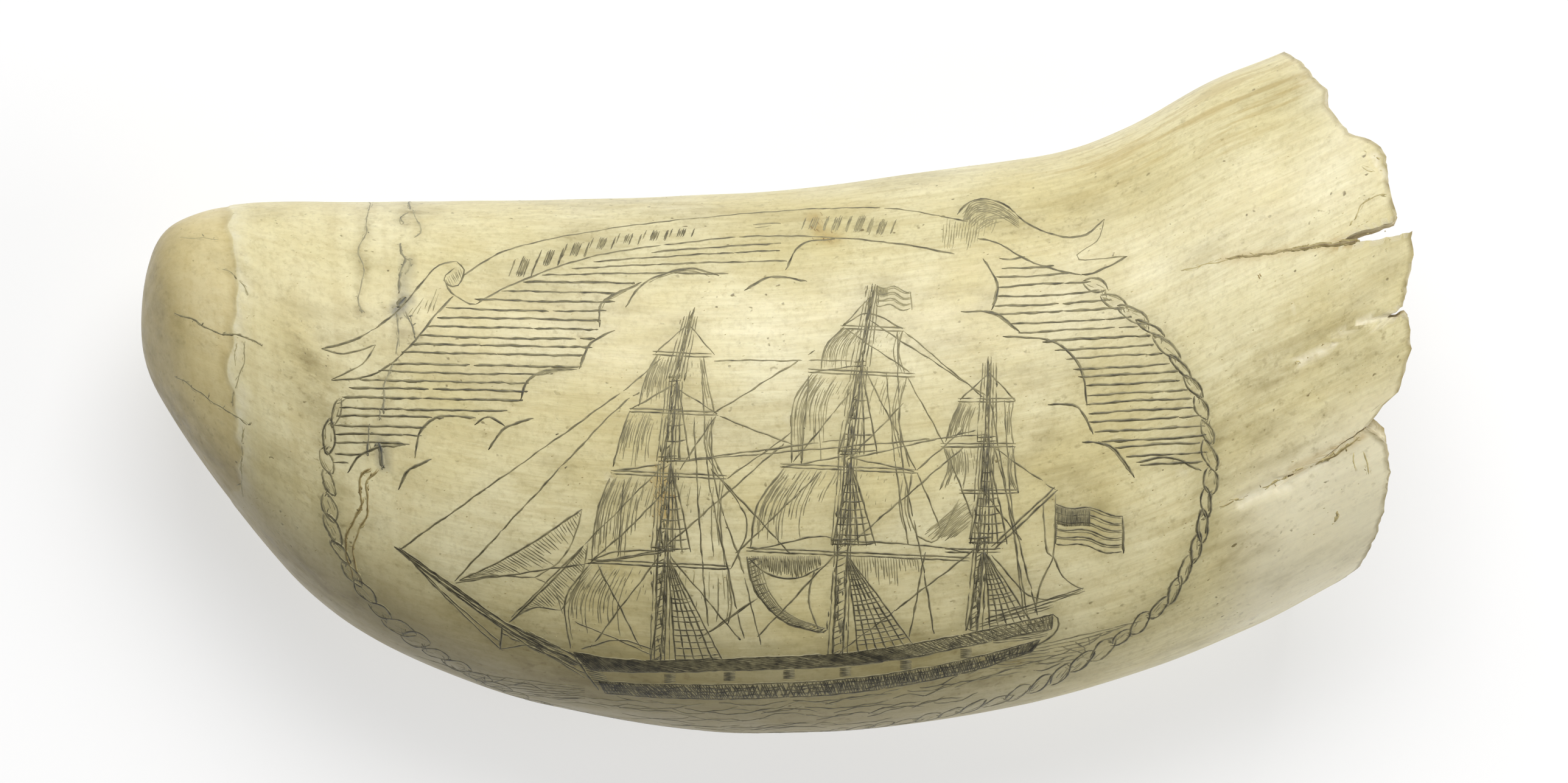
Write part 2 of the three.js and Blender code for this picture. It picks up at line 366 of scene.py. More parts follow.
def make_mesh(name, place, faces, fields=None, uv=None):
    """A mesh object in the part's frame, from points in mm and faces of three or four corners, with point
    attributes."""
    mesh = bpy.data.meshes.new(name)
    corners = np.concatenate([f.ravel() for f in faces]).astype(np.int32)
    sizes = np.concatenate([np.full(len(f), f.shape[1]) for f in faces])
    mesh.vertices.add(len(place))
    mesh.vertices.foreach_set("co", ((place + SHIFT) * MM).ravel())
    mesh.loops.add(len(corners))
    mesh.loops.foreach_set("vertex_index", corners)
    mesh.polygons.add(len(sizes))
    mesh.polygons.foreach_set("loop_start", np.r_[0, np.cumsum(sizes)[:-1]].astype(np.int32))
    mesh.update(calc_edges=True)
    mesh.polygons.foreach_set("use_smooth", np.ones(len(sizes), bool))
    for field, values in (fields or {}).items():
        kind, key = ("FLOAT_VECTOR", "vector") if values.ndim == 2 else ("FLOAT", "value")
        mesh.attributes.new(field, kind, "POINT").data.foreach_set(key, values.astype(np.float32).ravel())
    if uv is not None:
        mesh.uv_layers.new(name="OFBake").data.foreach_set("uv", uv[corners].astype(np.float32).ravel())
    mesh.validate()
    thing = bpy.data.objects.new(name, mesh)
    bpy.context.scene.collection.objects.link(thing)
    return thing


# ---- The engraver's hand ----


def walk(points, step):
    """Points along a line, a step apart: the line's own smooth curve if it has more than two points."""
    points = np.asarray(points, float)
    if len(points) > 2:
        points = spline(points, np.linspace(0, 1, 12 * len(points)))
    length = np.r_[0, np.cumsum(np.linalg.norm(np.diff(points, axis=0), axis=1))]
    at = np.linspace(0, length[-1], max(3, int(length[-1] / step) + 2))
    return np.stack([np.interp(at, length, points[:, k]) for k in (0, 1)], axis=-1), at


class Engraving:
    """The inked cuts of one subject, gathered as lines in the picture's plane, then laid on the tooth as one
    piece."""

    def __init__(self, name, seed):
        self.name = name
        self.rng = np.random.default_rng(seed)
        self.lines = []

    def cut(self, points, width=0.2, ink=0.8, step=0.8, shake=0.06):
        """One pass of the burin along a line: it shakes by a smooth wave, swells and thins, and tapers at its ends.
        The hand presses harder low down, where width and ink both grow by press."""
        line, at = walk(points, step)
        press = (0.9 + 0.5 * smooth(-line[:, 1], -6, 26)) ** 0.6
        phase = self.rng.uniform(0, 50, 2)
        along = np.gradient(line, axis=0)
        side = np.stack([-along[:, 1], along[:, 0]], axis=-1)
        side /= np.maximum(np.linalg.norm(along, axis=1), 1e-9)[:, None]
        wobble = shake * np.sin(at / 1.3 + phase[0]) + shake * np.sin(at / 0.47 + phase[1])
        line = line + side * wobble[:, None] / 2
        half = press * SPREAD * width / 2 * (1 + 0.2 * self.rng.normal(size=len(at)).clip(-1.6, 1.6))
        half *= np.clip(np.minimum(at, at[-1] - at) / 0.4, 0.35, 1)
        tone = np.clip(press * ink * (1 + 0.15 * self.rng.normal(size=len(at))), 0.05, 1)
        self.lines.append(np.column_stack([line, half, tone]))

    def jabs(self, points, width=0.2, ink=0.8, reach=6.0, **hand):
        """A long line as an engraver cuts it: in jabs of about this reach that nearly meet."""
        line, at = walk(points, 0.5)
        place = 0.0
        while place < at[-1] - 0.4:
            end = min(at[-1], place + reach * self.rng.uniform(0.5, 1.5))
            part = line[(at >= place) & (at <= end)]
            if len(part) > 1:
                self.cut(part[:: max(1, len(part) // 6)].tolist() + [part[-1]], width, ink, **hand)
            place = end - self.rng.uniform(-0.1, 0.8)

    def twice(self, points, apart=0.35, **hand):
        """Two lines side by side, as a spar or a stout rope is drawn."""
        points = np.asarray(points, float)
        along = points[-1] - points[0]
        side = np.array([-along[1], along[0]]) / np.linalg.norm(along) * apart / 2
        self.cut(points + side, **hand)
        self.cut(points - side, **hand)

    def flecked(self, a, b, spread, gap, reach=1.5, **hand):
        """Short strokes along a line, one for each gap of it, scattered across it by spread: a bundle of ropes."""
        a, b = np.asarray(a, float), np.asarray(b, float)
        length = np.linalg.norm(b - a)
        along = (b - a) / length
        for t in self.rng.uniform(0, 1, int(length / gap)):
            at = a + (b - a) * t + np.array([-along[1], along[0]]) * self.rng.uniform(-spread, spread)
            self.cut([at, at + along * reach * self.rng.uniform(0.4, 1.3)], **hand)

    def shade(self, left, right, across, down=(0, 1), loose=0.15, lean=0.0, **hand):
        """Hatching between two edges. Strokes are set across from the left edge to the right at these shares, each
        runs from one share down the edges to another, and they start and stop unevenly by loose."""
        left, right = np.asarray(left, float), np.asarray(right, float)
        for share in across:
            low, high = down[0] + self.rng.uniform(0, loose), down[1] - self.rng.uniform(0, loose) ** 0.8
            t = np.linspace(low, max(high, low + 0.05), 4)
            at = np.clip(share + lean * t + self.rng.normal(0, 0.006), 0, 1)[:, None]
            self.cut(spline(left, t) * (1 - at) + spline(right, t) * at, **hand)

    def piece(self, material):
        """All the cuts as one mesh. Each is a closed bar with a ring of four points at every step: two edges just
        under the surface, where the ink fades out, a crest above it by LIFT at its darkest, and a keel KEEL
        below."""
        rings = np.concatenate(self.lines)
        ends = np.cumsum([len(line) for line in self.lines])
        last = np.zeros(len(rings), bool)
        last[ends - 1] = True
        first = np.r_[True, last[:-1]]
        place, normal = on_tooth(rings[:, :2])
        index = np.arange(len(rings))
        ahead, behind = np.where(last, index, index + 1) % len(rings), np.where(first, index, index - 1)
        side = np.cross(normal, place[ahead] - place[behind])
        side *= (rings[:, 2] / np.maximum(np.linalg.norm(side, axis=1), 1e-9))[:, None]
        crest = place + normal * (LIFT * (0.4 + 0.6 * rings[:, 3]))[:, None]
        under = place - normal * EDGE_DEPTH
        points = np.stack([under + side, crest, under - side, place - normal * KEEL], axis=1).reshape(-1, 3)
        a, b = 4 * index[~last], 4 * index[~last] + 4
        sides = ((0, 1), (1, 2), (2, 3), (3, 0))
        walls = np.concatenate([np.column_stack([a + i, a + j, b + j, b + i]) for i, j in sides])
        start, stop = 4 * index[first], 4 * index[last]
        caps = np.concatenate([np.column_stack([start, start + 3, start + 2, start + 1]),
                               np.column_stack([stop, stop + 1, stop + 2, stop + 3])])
        along = rings[ahead, :2] - rings[behind, :2]
        reach = rings[:, 2] / np.linalg.norm(along, axis=1)
        beside = np.stack([-along[:, 1], along[:, 0]], axis=-1) * reach[:, None]
        flat = np.stack([rings[:, :2] + k * beside for k in (1, 0, -1, 0)], axis=1).reshape(-1, 2)
        uv = (flat - flat.min(0)) / np.ptp(flat, axis=0).max()
        ink = np.stack([rings[:, 3] * 0, rings[:, 3], rings[:, 3] * 0, rings[:, 3]], axis=1).ravel()
        thing = make_mesh(self.name, points, [walls, caps], {"ink": ink}, uv)
        thing.data.materials.append(material)
        return thing


LIFT, EDGE_DEPTH, KEEL = 0.026, 0.011, 0.06
SPREAD = 1.85  # a cut's whole width over the width that shows dark


def steps(low, high, gap):
    """Even steps from low to high, about gap apart."""
    return np.linspace(low, high, max(2, int(abs(high - low) / gap) + 1))


# ---- The rope border ----

# Its middle line, from the ribbon's right tail, down round the convex edge, and up to the ribbon's left tail.
ROPE_PATH = [
    (40.5, 14.6), (44.5, 11.7), (48.7, 8.2), (52.6, 3.4), (54.9, -0.8), (56.2, -6.5), (56.3, -11.6), (55.1, -18.2),
    (52.2, -25), (48, -29.3), (43.5, -32.5), (37.5, -36.2), (30, -39.6), (18, -43.2), (0, -46.2), (-16, -45.6),
    (-30, -41.6), (-38.5, -36.9), (-46.2, -32.2), (-51, -28.2), (-54.6, -23.2), (-56.8, -17.5), (-57.6, -10.5),
    (-57.2, -4.6), (-55, 0.4),
]
ROPE_LAY = 3.05  # from one strand to the next


def rope_border():
    """The rope's strands, each a long pointed oval that leans across the middle line and overlaps the next: two
    bowed sides, y = w (1 - t2) to the 0.8 + lean t, with a line or two inside and a few short strokes where strands
    meet."""
    cuts = Engraving("rope_border", 21)
    rng = cuts.rng
    line, at = walk(ROPE_PATH, 0.1)
    heading = np.gradient(line, axis=0)
    heading /= np.linalg.norm(heading, axis=1)[:, None]
    t = np.linspace(-1, 1, 9)
    for place in np.arange(1.2, at[-1] - 0.8, ROPE_LAY):
        k = np.abs(at - place - rng.normal(0, 0.12)).argmin()
        ahead, side = heading[k], np.array([-heading[k][1], heading[k][0]])
        centre = line[k] + side * rng.normal(0, 0.1)
        long, wide, lean = rng.normal(2.0, 0.2), rng.normal(0.74, 0.1), rng.normal(0.4, 0.12)
        ink = np.clip(rng.normal(0.85, 0.13), 0.5, 1)

        def bow(share, low=-1.0, high=1.0):
            u = low + (high - low) * (t + 1) / 2
            swing = share * wide * (1 - u * u).clip(0) ** 0.8 + lean * u
            return centre + ahead * (long * u)[:, None] + side * swing[:, None]

        for turn in (1, -1):
            cuts.cut(bow(turn, -1.0 + 0.04 * (turn < 0), 0.96), width=rng.uniform(0.2, 0.28), ink=ink, step=0.4,
                     shake=0.1)
        cuts.cut(bow(rng.uniform(0.72, 0.86), -0.6, 0.4), width=0.16, ink=0.7 * ink, step=0.5, shake=0.07)
        for _ in range(rng.integers(1, 4)):
            low = rng.uniform(-0.9, 0.2)
            cuts.cut(bow(rng.uniform(-0.7, 0.6), low, low + rng.uniform(0.4, 0.9)), width=0.14, ink=0.5 * ink,
                     step=0.5, shake=0.06)
        for _ in range(rng.integers(3, 8)):
            u = rng.uniform(0.55, 1.0)
            start = centre + ahead * long * u + side * (lean * u + rng.uniform(-0.4, 0.4))
            cuts.cut([start, start + ahead * 0.25 - side * 0.2, start + ahead * 0.5 - side * rng.uniform(0.2, 0.6)],
                     width=0.15, ink=rng.uniform(0.4, 0.8), step=0.4, shake=0.02)
    return cuts


# ---- The ribbon ----

RIBBON_TOP = [(-40.2, 15.2), (-33.8, 18.8), (-21.2, 21.4), (-8.6, 22.9), (3.8, 23.9), (12.1, 24.1), (16.5, 23.9),
              (25.2, 22.3)]
RIBBON_FOOT = [(-38.4, 11.6), (-32.6, 14.6), (-23.2, 17.8), (-12.8, 19.4), (-2.4, 20.4), (7.9, 20.2), (16.2, 19.4),
               (23.4, 18.1)]
LEFT_TAIL_TOP = [(-40.9, 17.1), (-42.9, 16.9), (-45, 14.8), (-47.8, 11.4), (-51.4, 8.4), (-54.6, 6.8), (-58.3, 5.8)]
LEFT_TAIL_FOOT = [(-41.3, 12.6), (-43.8, 9.9), (-46.1, 7), (-48.9, 4.2), (-52.4, 2.2), (-57, 1.8)]
RIGHT_TAIL_TOP = [(23.8, 23.2), (25.9, 25.1), (29.4, 24.8), (33.3, 21.8), (37.4, 20.3), (40.6, 20.7), (42.8, 22.6)]
RIGHT_TAIL_FOOT = [(26.4, 20.1), (29.2, 19.4), (32.6, 17.4), (36.9, 15.9), (40.4, 15.4), (43.2, 16.4), (45.7, 17.8)]


def ribbon():
    """An arched ribbon with a fold and a forked tail at each end. Short slanted strokes fill the place of words."""
    cuts = Engraving("ribbon", 31)
    rng = cuts.rng
    for edge in (RIBBON_TOP, RIBBON_FOOT):
        cuts.jabs(edge, width=0.21, ink=0.84, reach=14)
    for edge in (LEFT_TAIL_TOP, LEFT_TAIL_FOOT, RIGHT_TAIL_TOP, RIGHT_TAIL_FOOT):
        cuts.jabs(edge, width=0.23, ink=0.9, reach=12)
    # The forks of the tails.
    cuts.cut([(-58.3, 5.8), (-55.4, 5.2), (-51.3, 6.3)], width=0.18)
    cuts.cut([(-51.3, 6.3), (-53, 3.9), (-57, 1.8)], width=0.18)
    cuts.cut([(42.8, 22.6), (41.9, 19.9), (39.2, 17.9), (40.5, 17.3), (45.7, 17.8)], width=0.15, ink=0.6)
    # The left end rolls over a small scroll.
    cuts.cut([(-40.9, 17.1), (-40.2, 16.4), (-39.9, 15.6), (-40.9, 13.9), (-42.2, 14.2), (-42.5, 15.1),
              (-41.2, 16.3)])
    cuts.cut([(-42.5, 15), (-41.8, 13.3), (-39.6, 11.8), (-38.4, 11.6)])
    cuts.shade([(-42.3, 14.9), (-41.6, 13.6)], [(-40.5, 16.2), (-40.1, 15.1)], steps(0, 1, 0.12), ink=0.5, width=0.14)
    cuts.shade([(-46.2, 11.8), (-48.6, 9)], [(-42.6, 14.2), (-43.8, 10.3)], steps(0.15, 0.95, 0.14), loose=0.5,
               ink=0.4, width=0.13)
    # The right end folds back under itself in shade.
    cuts.shade(RIGHT_TAIL_TOP[:4], [(26.4, 20.1), (28.3, 21.6), (30.9, 21.9), (32.2, 20.4)], steps(0, 0.9, 0.06),
               down=(0, 0.75), loose=0.3, ink=0.55, width=0.15)
    for k in steps(0, 1, 0.17):
        cuts.cut([(24.5 + 0.5 * k, 22.4), (25.9 + 0.6 * k, 24.9 - 1.3 * k), (29 + 0.2 * k, 24.6 - 1.5 * k),
                  (31.8, 22.6 - 1.2 * k)],
                 width=0.15, ink=0.6)
    cuts.shade([(22.2, 22.8), (21.8, 18.6)], [(26.6, 22.8), (25.7, 18.4)], steps(0, 1, 0.08), loose=0.35, ink=0.4,
               width=0.14)
    cuts.shade([(25.7, 24.6), (24.1, 18.6)], [(29.4, 23.6), (27.8, 19.8)], steps(0, 1, 0.1), loose=0.4, ink=0.35,
               width=0.13, lean=0.2)
    # Where words would be: sheaves of slanting strokes, each with one loose stroke beside it.
    top, foot = spline(RIBBON_TOP, np.linspace(0, 1, 200)), spline(RIBBON_FOOT, np.linspace(0, 1, 200))
    for low, high, ink, gap in ((-33.2, -9.5, 0.74, 3.45), (4.6, 15.8, 0.48, 2.9)):
        for x in np.arange(low, high, gap):
            y_foot = read_off(foot, x) + 0.75
            tall = (read_off(top, x + 0.5) - 0.75 - y_foot) * rng.uniform(0.75, 0.95)
            for k in (*np.arange(0, 0.9, rng.uniform(0.19, 0.26)), -0.95, 1.65 + rng.uniform(0, 0.3), 1.9):
                lift, reach = rng.uniform(0, 0.25), tall * rng.uniform(0.8, 1.0)
                base = np.array([x + k, y_foot + lift])
                cuts.cut([base, base + (0.36 * reach, reach - lift)], step=0.5, width=0.19, shake=0.02,
                         ink=ink * rng.uniform(0.8, 1.3))
    cuts.cut([(-2.6, 21.9), (-0.6, 22.1), (1, 22)], width=0.24, ink=0.6)
    cuts.cut([(-2.4, 21.5), (-0.2, 21.8)], width=0.2, ink=0.4)
    return cuts


# ---- Sky and clouds ----

# Each side of the sky is ruled with level lines between two ragged bounds, each a list of (y, x) from the top down.
LEFT_SKY = (
    [(19.4, -12.8), (17.8, -23), (15.4, -30), (12.4, -36.9), (11.2, -42), (7.4, -45.8), (4.2, -48.6), (2.2, -52.2),
     (0.6, -54.6), (-2.6, -56.3), (-9.6, -56.8)],
    [(19.4, 0.4), (16.2, 1.4), (15.4, -6.6), (14.8, -17), (11.5, -21.8), (8.4, -22.4), (4.2, -24.8), (3, -25.6),
     (2.6, -30.6), (-0.8, -32.6), (-2.4, -34.6), (-2.8, -42.6), (-5, -45.4), (-6.4, -47), (-8, -53.4), (-9.6, -55.2)],
)
RIGHT_SKY = (
    [(18, 29.5), (13.8, 28.8), (10.9, 28.4), (8, 31.8), (6.9, 35.2), (4.5, 38.4), (1.5, 40.3), (-1.6, 40.6),
     (-5.1, 41.3),
     (-6.8, 44.4), (-8.9, 46.8), (-9.9, 54.4)],
    [(18, 31.4), (16.6, 35.4), (15, 39.4), (12.4, 43), (8.4, 47.2), (3.4, 51.6), (-0.8, 54), (-4.9, 55.4),
     (-9.9, 55.6)],
)
SKY_GAP = 1.16

# Each cloud is a run of scallops, given by where they meet.
CLOUDS = [
    [(1.6, 16), (3.6, 19.3), (8, 20)], [(-22.4, 8.6), (-21.9, 11.9), (-17, 14.4)],
    [(-19.1, 11.2), (-16.6, 14.3), (-11.2, 16.2), (-7, 15.2)], [(-3.7, 13.3), (-0.4, 15.1), (4.4, 14.5)],
    [(-25, 3.2), (-23.6, 6.4), (-20.4, 8.2)], [(-32.6, -0.8), (-31.6, 1.8), (-29.2, 3), (-25.3, 3.2)],
    [(-36.7, -7.2), (-34.6, -4.5), (-30.9, -3.1)], [(-38.5, -4), (-36.6, -2.9), (-34.6, -4.2)],
    [(-46.2, -8.3), (-45.5, -4.9), (-42.8, -2.9), (-38.3, -3.1)],
    [(-48.3, -12.4), (-47.1, -9.9), (-44, -8.5)],
    [(-54.9, -10.2), (-53.6, -8.2), (-50.8, -6.9), (-47.4, -6.6)], [(27.1, 17.5), (29, 13.9), (28.2, 10.8)],
    [(24.2, 10.6), (28.6, 10.4), (31.9, 7.8)], [(29.6, 7.4), (35.9, 6.8), (39.6, 3.4), (40.4, -1.6)],
    [(35.4, -1.4), (39.2, -1.7), (41.3, -5.2)], [(39.8, -6.2), (43.6, -6.8), (46.6, -10.8)],
    [(46.8, -8.9), (51.2, -8.2), (55.2, -10)],
]
SHADED_CLOUDS = (1, 2, 5, 11, 12, 15)


def sky():
    """Level lines between the sky's bounds, a little unsteady, each cut in a few long jabs. The left side's topmost
    lines rise with the ribbon."""
    cuts = Engraving("sky", 41)
    rng = cuts.rng
    for (outer, inner), slope in ((LEFT_SKY, -0.02), (RIGHT_SKY, 0.055)):
        for y in np.arange(outer[0][0] - 0.4, outer[-1][0], -SKY_GAP):
            near_y = y + rng.normal(0, 0.07)
            a, b = read_off(outer, near_y), read_off(inner, near_y)
            a, b = a + rng.uniform(-0.4, 0.3), b - rng.uniform(-0.6, 0.4)
            if b - a > 1.2:
                rise = (slope + (0.09 * smooth(y, 13.5, 19) if slope < 0 else 0)) * (b - a) / 2
                cuts.jabs([(a, near_y - rise), ((a + b) / 2, near_y + rng.normal(0, 0.12)), (b, near_y + rise)],
                          width=rng.uniform(0.22, 0.27), ink=rng.uniform(0.8, 1.0), reach=16, shake=0.07)
    return cuts


def clouds():
    """Scallops, each with a shorter line just outside it, and two more inside the shaded ones."""
    cuts = Engraving("clouds", 51)
    for k, scallop in enumerate(CLOUDS):
        cuts.cut(scallop, width=0.24, ink=0.9, shake=0.08)
        centre = np.mean(scallop, axis=0)
        middle = spline(scallop, np.linspace(0.3, 0.75, 5))
        cuts.cut(middle + (middle - centre) * 0.05, width=0.18, ink=0.7, shake=0.05)
        if k in SHADED_CLOUDS:
            inside = centre + (spline(scallop, np.linspace(0.35, 0.95, 6)) - centre) * 0.86
            cuts.cut(inside, width=0.16, ink=0.6, shake=0.06)
            cuts.cut(centre + (inside[2:5] - centre) * 0.88, width=0.13, ink=0.5, shake=0.05)
    return cuts


# ---- The ship ----

# Each mast is its middle line from the deck up.
MASTS = {
    "fore": [(-14.7, -34.4), (-14.2, -20.3), (-13.6, -8.7), (-12.7, 1.6), (-10.6, 10)],
    "main": [(8.3, -34.4), (9, -19.4), (9.7, -7.8), (11.2, 3.5), (12.9, 13.4)],
    "mizzen": [(25.9, -30.6), (26.8, -19.2), (27.5, -6.2), (27.9, 4)],
}
MAST_WIDTHS = (1.3, 0.95, 0.7, 0.42)  # of its lengths, counted back from the highest
# Each yard is its height, and how far it reaches to the left and right of its mast.
YARDS = {
    "fore": [(5.1, 3.7, 3.9), (-2.3, 5.5, 6), (-10.4, 7.2, 7.7), (-22, 9.6, 8.8)],
    "main": [(8.5, 3.4, 4.9), (2.7, 6.6, 7.2), (-9.6, 8.7, 9.1), (-20.6, 12.4, 16.4)],
    "mizzen": [(-0.8, 3.9, 3.5), (-6.6, 5.9, 3.8), (-12.6, 3.2, 4.5), (-20.2, 4.6, 2.6)],
}
HULL_TOP = [(-25.8, -33.4), (-20.4, -34.3), (-14.9, -34.5), (-4, -34.2), (8.4, -33.6), (17, -32.5), (25.6, -30.9),
            (36.2, -28.5)]
HULL_RAIL = [(-23.6, -35.8), (-15.6, -36), (-4, -35.7), (8.4, -35.2), (17, -34.2), (25.6, -32.5), (36, -30.4)]
HULL_WALE = [(-22.6, -37.2), (-15.6, -37.6), (-4, -37.6), (8.4, -37), (17, -35.9), (25.6, -34.2), (34.6, -31.8)]
HULL_WATER = [(-21.8, -38.8), (-14, -39.4), (-4, -39.5), (8.4, -38.9), (17, -37.7), (25.6, -35.9), (33.4, -33.4)]
GUN_PORTS = (-14.1, -6.4, 1.3, 8.6, 16.4, 24.2)


def mast_x(name, y):
    """The mast's middle at a height."""
    return read_off(MASTS[name], y, by=1)


def spars():
    """Masts as pairs of lines that taper upwards, hatched across low down, and yards as pairs of level lines."""
    cuts = Engraving("masts_and_yards", 61)
    for name, line in MASTS.items():
        line = np.array(line)
        for k, (a, b) in enumerate(zip(line[:-1], line[1:])):
            apart = MAST_WIDTHS[k - len(line) + 1]
            over = (b - a) * 0.08
            cuts.twice([a, b + over], apart=apart, width=0.2, ink=0.85, shake=0.05)
            cuts.flecked(a, b, apart / 2, 0.6, width=0.18, ink=0.85, shake=0.03)
            for side in (-1, 1):
                for away in (0.5, 1.05) if k else (0.6,):
                    shift = (side * (apart / 2 + away), 0)
                    cuts.jabs([a + shift, b + (side * (apart / 2 + 0.6 * away), 0)], width=0.14, ink=0.7, reach=5)
            cuts.flecked(a, b, apart / 2 + 1.1, 1.5, reach=0.9, width=0.2, ink=0.85, shake=0.03)
            for t in steps(0.04, 0.98, 0.05 if k == 0 else 0.14):
                middle = a + (b - a) * t + (0, cuts.rng.normal(0, 0.2))
                cuts.cut([middle - (apart / 2, 0.35), middle + (apart / 2, 0.3)], width=0.15, ink=0.7, shake=0.02)
            if k:
                top = a + (0, 0.4)
                cuts.twice([top - (2 - 0.4 * k, 0.1), top + (2 - 0.4 * k, 0)], apart=0.55, width=0.2, ink=0.8)
        for y, left, right in YARDS[name]:
            middle = np.array([mast_x(name, y), y])
            tilt = np.array([1, 0 if name == "mizzen" else -0.045])
            cuts.twice([middle - tilt * left, middle + tilt * right], apart=0.42, width=0.17, ink=0.72, shake=0.05)
    # The bowsprit and its jib boom, and the gaff and boom at the stern.
    for line in ([(-48.3, -19.9), (-41, -25), (-34, -29.9), (-26, -33.6)],
                 [(-48, -20.3), (-36.5, -28.3), (-28.4, -33.6)],
                 [(-47, -21.2), (-39, -27.4), (-33, -31.2), (-25.4, -34.6)]):
        cuts.cut(line, width=0.23, ink=0.9)
    cuts.cut([(-48.9, -19.7), (-47.6, -20.6), (-46.4, -21.8)], width=0.3, ink=0.95)
    cuts.flecked((-35.2, -30), (-26, -34.4), 0.9, 0.16, reach=2.2, width=0.2, ink=0.8, shake=0.05)
    cuts.flecked((-46, -22), (-35.4, -29.4), 0.35, 0.9, reach=1.6, width=0.17, ink=0.75, shake=0.03)
    cuts.twice([(28.3, -19.9), (36.5, -12.2)], apart=0.5, width=0.2, ink=0.85)
    cuts.twice([(27.4, -29.3), (40.2, -25.3)], apart=0.42, width=0.18, ink=0.8)
    return cuts


def sails():
    """Square sails half gathered up under their yards, two jibs and a small sail at the stern, hatched for shade."""
    cuts = Engraving("sails", 71)
    rng = cuts.rng

    def square(left, right, fade=0.5, ink=0.58):
        """A sail between two edges given from its yard down: outlined, dark along the left, streaked under its
        yard."""
        left, right = np.asarray(left, float), np.asarray(right, float)
        cuts.cut(left, width=0.19, ink=0.7)
        cuts.cut(right, width=0.17, ink=0.62)
        cuts.shade(left, right, 0.02 + 0.3 * steps(0, 1, 0.06) ** 1.5, down=(0, 0.97), loose=0.3, ink=ink,
                   width=0.105)
        cuts.shade(left, right, 0.02 + 0.45 * steps(0, 1, 0.045) ** 1.2, down=(0, 0.55), loose=0.4, ink=ink * 0.85,
                   width=0.1)
        cuts.shade(left, right, steps(0.5, 0.98, 0.028), down=(0, fade), loose=0.5, ink=ink * 0.75, width=0.1)
        cuts.shade(left, right, (0.93, 0.97), down=(0, 1), loose=0.2, ink=ink, width=0.13)

    # Fore mast, from the top down.
    square([(-15, 5), (-16.4, 2.2), (-17.3, -1.6)], [(-9, 4.9), (-8.4, 1.4), (-7.6, -2.4)])
    square([(-18.4, -2.2), (-19.6, -5.4), (-20.6, -9.4)], [(-7.4, -2.9), (-8.2, -6.4), (-6.4, -10.9)])
    square([(-20.7, -10.2), (-22.6, -15), (-23.4, -21.4)], [(-6.4, -11), (-6.8, -16.4), (-6.2, -22.2)])
    square([(-23.6, -21.9), (-26.8, -26.6), (-26.2, -32.9)], [(-5.8, -22.6), (-5.4, -27.2), (-5.9, -29.8)], fade=0.6)
    # Main mast.
    square([(9.2, 8.6), (6.8, 6.2), (6.2, 3.2)], [(16.8, 8.2), (16.2, 5.6), (16.9, 2.6)])
    square([(5, 2.6), (2.6, -1.4), (2.4, -8.9)], [(17.2, 2.2), (16.2, -3.2), (17.6, -9.4)])
    square([(1.4, -9.6), (-2, -14.4), (-2.9, -19.8)], [(17.9, -10), (17.4, -14.6), (18.6, -18.6)], fade=0.4)
    # Mizzen mast.
    square([(24.2, -0.9), (23, -3.6), (22.2, -6.2)], [(31, -0.9), (30.6, -3.6), (31, -6.4)])
    square([(22, -6.8), (22.6, -9.4), (21.4, -12.4)], [(31.1, -6.8), (30.6, -10), (31.6, -12.6)], fade=0.35)

    # The main course swings out to the left in a deep curve, its foot gathered up on the right.
    leech = [(-3.4, -21), (-2.2, -25.4), (1.2, -29.2), (6.6, -30.9)]
    cuts.cut(leech, width=0.24, ink=0.85)
    cuts.shade(leech, [(1.4, -21.2), (1.8, -24.2), (3.6, -27), (6.8, -29.4)], steps(0.02, 0.35, 0.05), loose=0.1,
               ink=0.5,
               width=0.14)
    for t in steps(0.04, 0.97, 0.03):
        at = spline(leech, np.array([t]))[0]
        cuts.cut([at, at + (rng.uniform(0.7, 1.7), rng.uniform(0.2, 0.8))], width=0.15, ink=0.75, shake=0.03)
    bunt = [(-3.2, -21.2), (-0.6, -23.2), (3, -23.8), (6.4, -22.2)]
    cuts.cut(bunt, width=0.18, ink=0.75)
    cuts.shade([(-3.2, -21), (-3.1, -21.3)], [(6.2, -21), (6.4, -22.3)], steps(0.03, 0.97, 0.05), down=(0, 1),
               loose=0.1,
               ink=0.6, width=0.16)
    for x in steps(-2.8, 6, 0.24):
        drop = read_off(bunt, x)
        cuts.cut([(x, -20.9), (x + 0.15, drop + rng.uniform(-0.1, 0.6))], width=0.15, ink=0.62, shake=0.03)
    cuts.cut([(5.4, -22.4), (4.6, -26.4), (5.8, -30.4)], width=0.17, ink=0.6)
    for x in steps(10.4, 18.6, 0.34):
        cuts.cut([(x, -21), (x + 0.2, -21.8 - rng.uniform(0.3, 3.2))], width=0.13, ink=0.5, shake=0.03)
    # Two jibs: each is a luff, and a lower edge up to which strokes hang from it.
    for luff, low in (
        ([(-40.5, -24.1), (-33, -20.4), (-24.6, -14.9)],
         [(-40.5, -24.1), (-35.6, -23.5), (-30.8, -23.7), (-27.8, -21.8), (-25.9, -19.2), (-24.6, -14.9)]),
        ([(-34.1, -29.5), (-28.6, -24.2), (-23.8, -19)],
         [(-34.1, -29.5), (-31, -27.6), (-27.4, -28), (-25.4, -25), (-24.3, -22), (-23.8, -19)]),
    ):
        cuts.cut(luff, width=0.2, ink=0.85)
        cuts.cut(low[2:], width=0.15, ink=0.6)
        cuts.cut(low[:3], width=0.18, ink=0.75)
        for t in steps(0.1, 0.97, 0.02):
            top = spline(luff, np.array([t]))[0]
            end = spline(low, np.array([t]))[0]
            cuts.cut([top, top + (end - top) * rng.uniform(0.45, 1)], width=0.13, ink=0.6, step=1.2, shake=0.03)
    cuts.cut([(-30.6, -23.8), (-28.4, -25), (-27.2, -28.4)], width=0.14, ink=0.5)
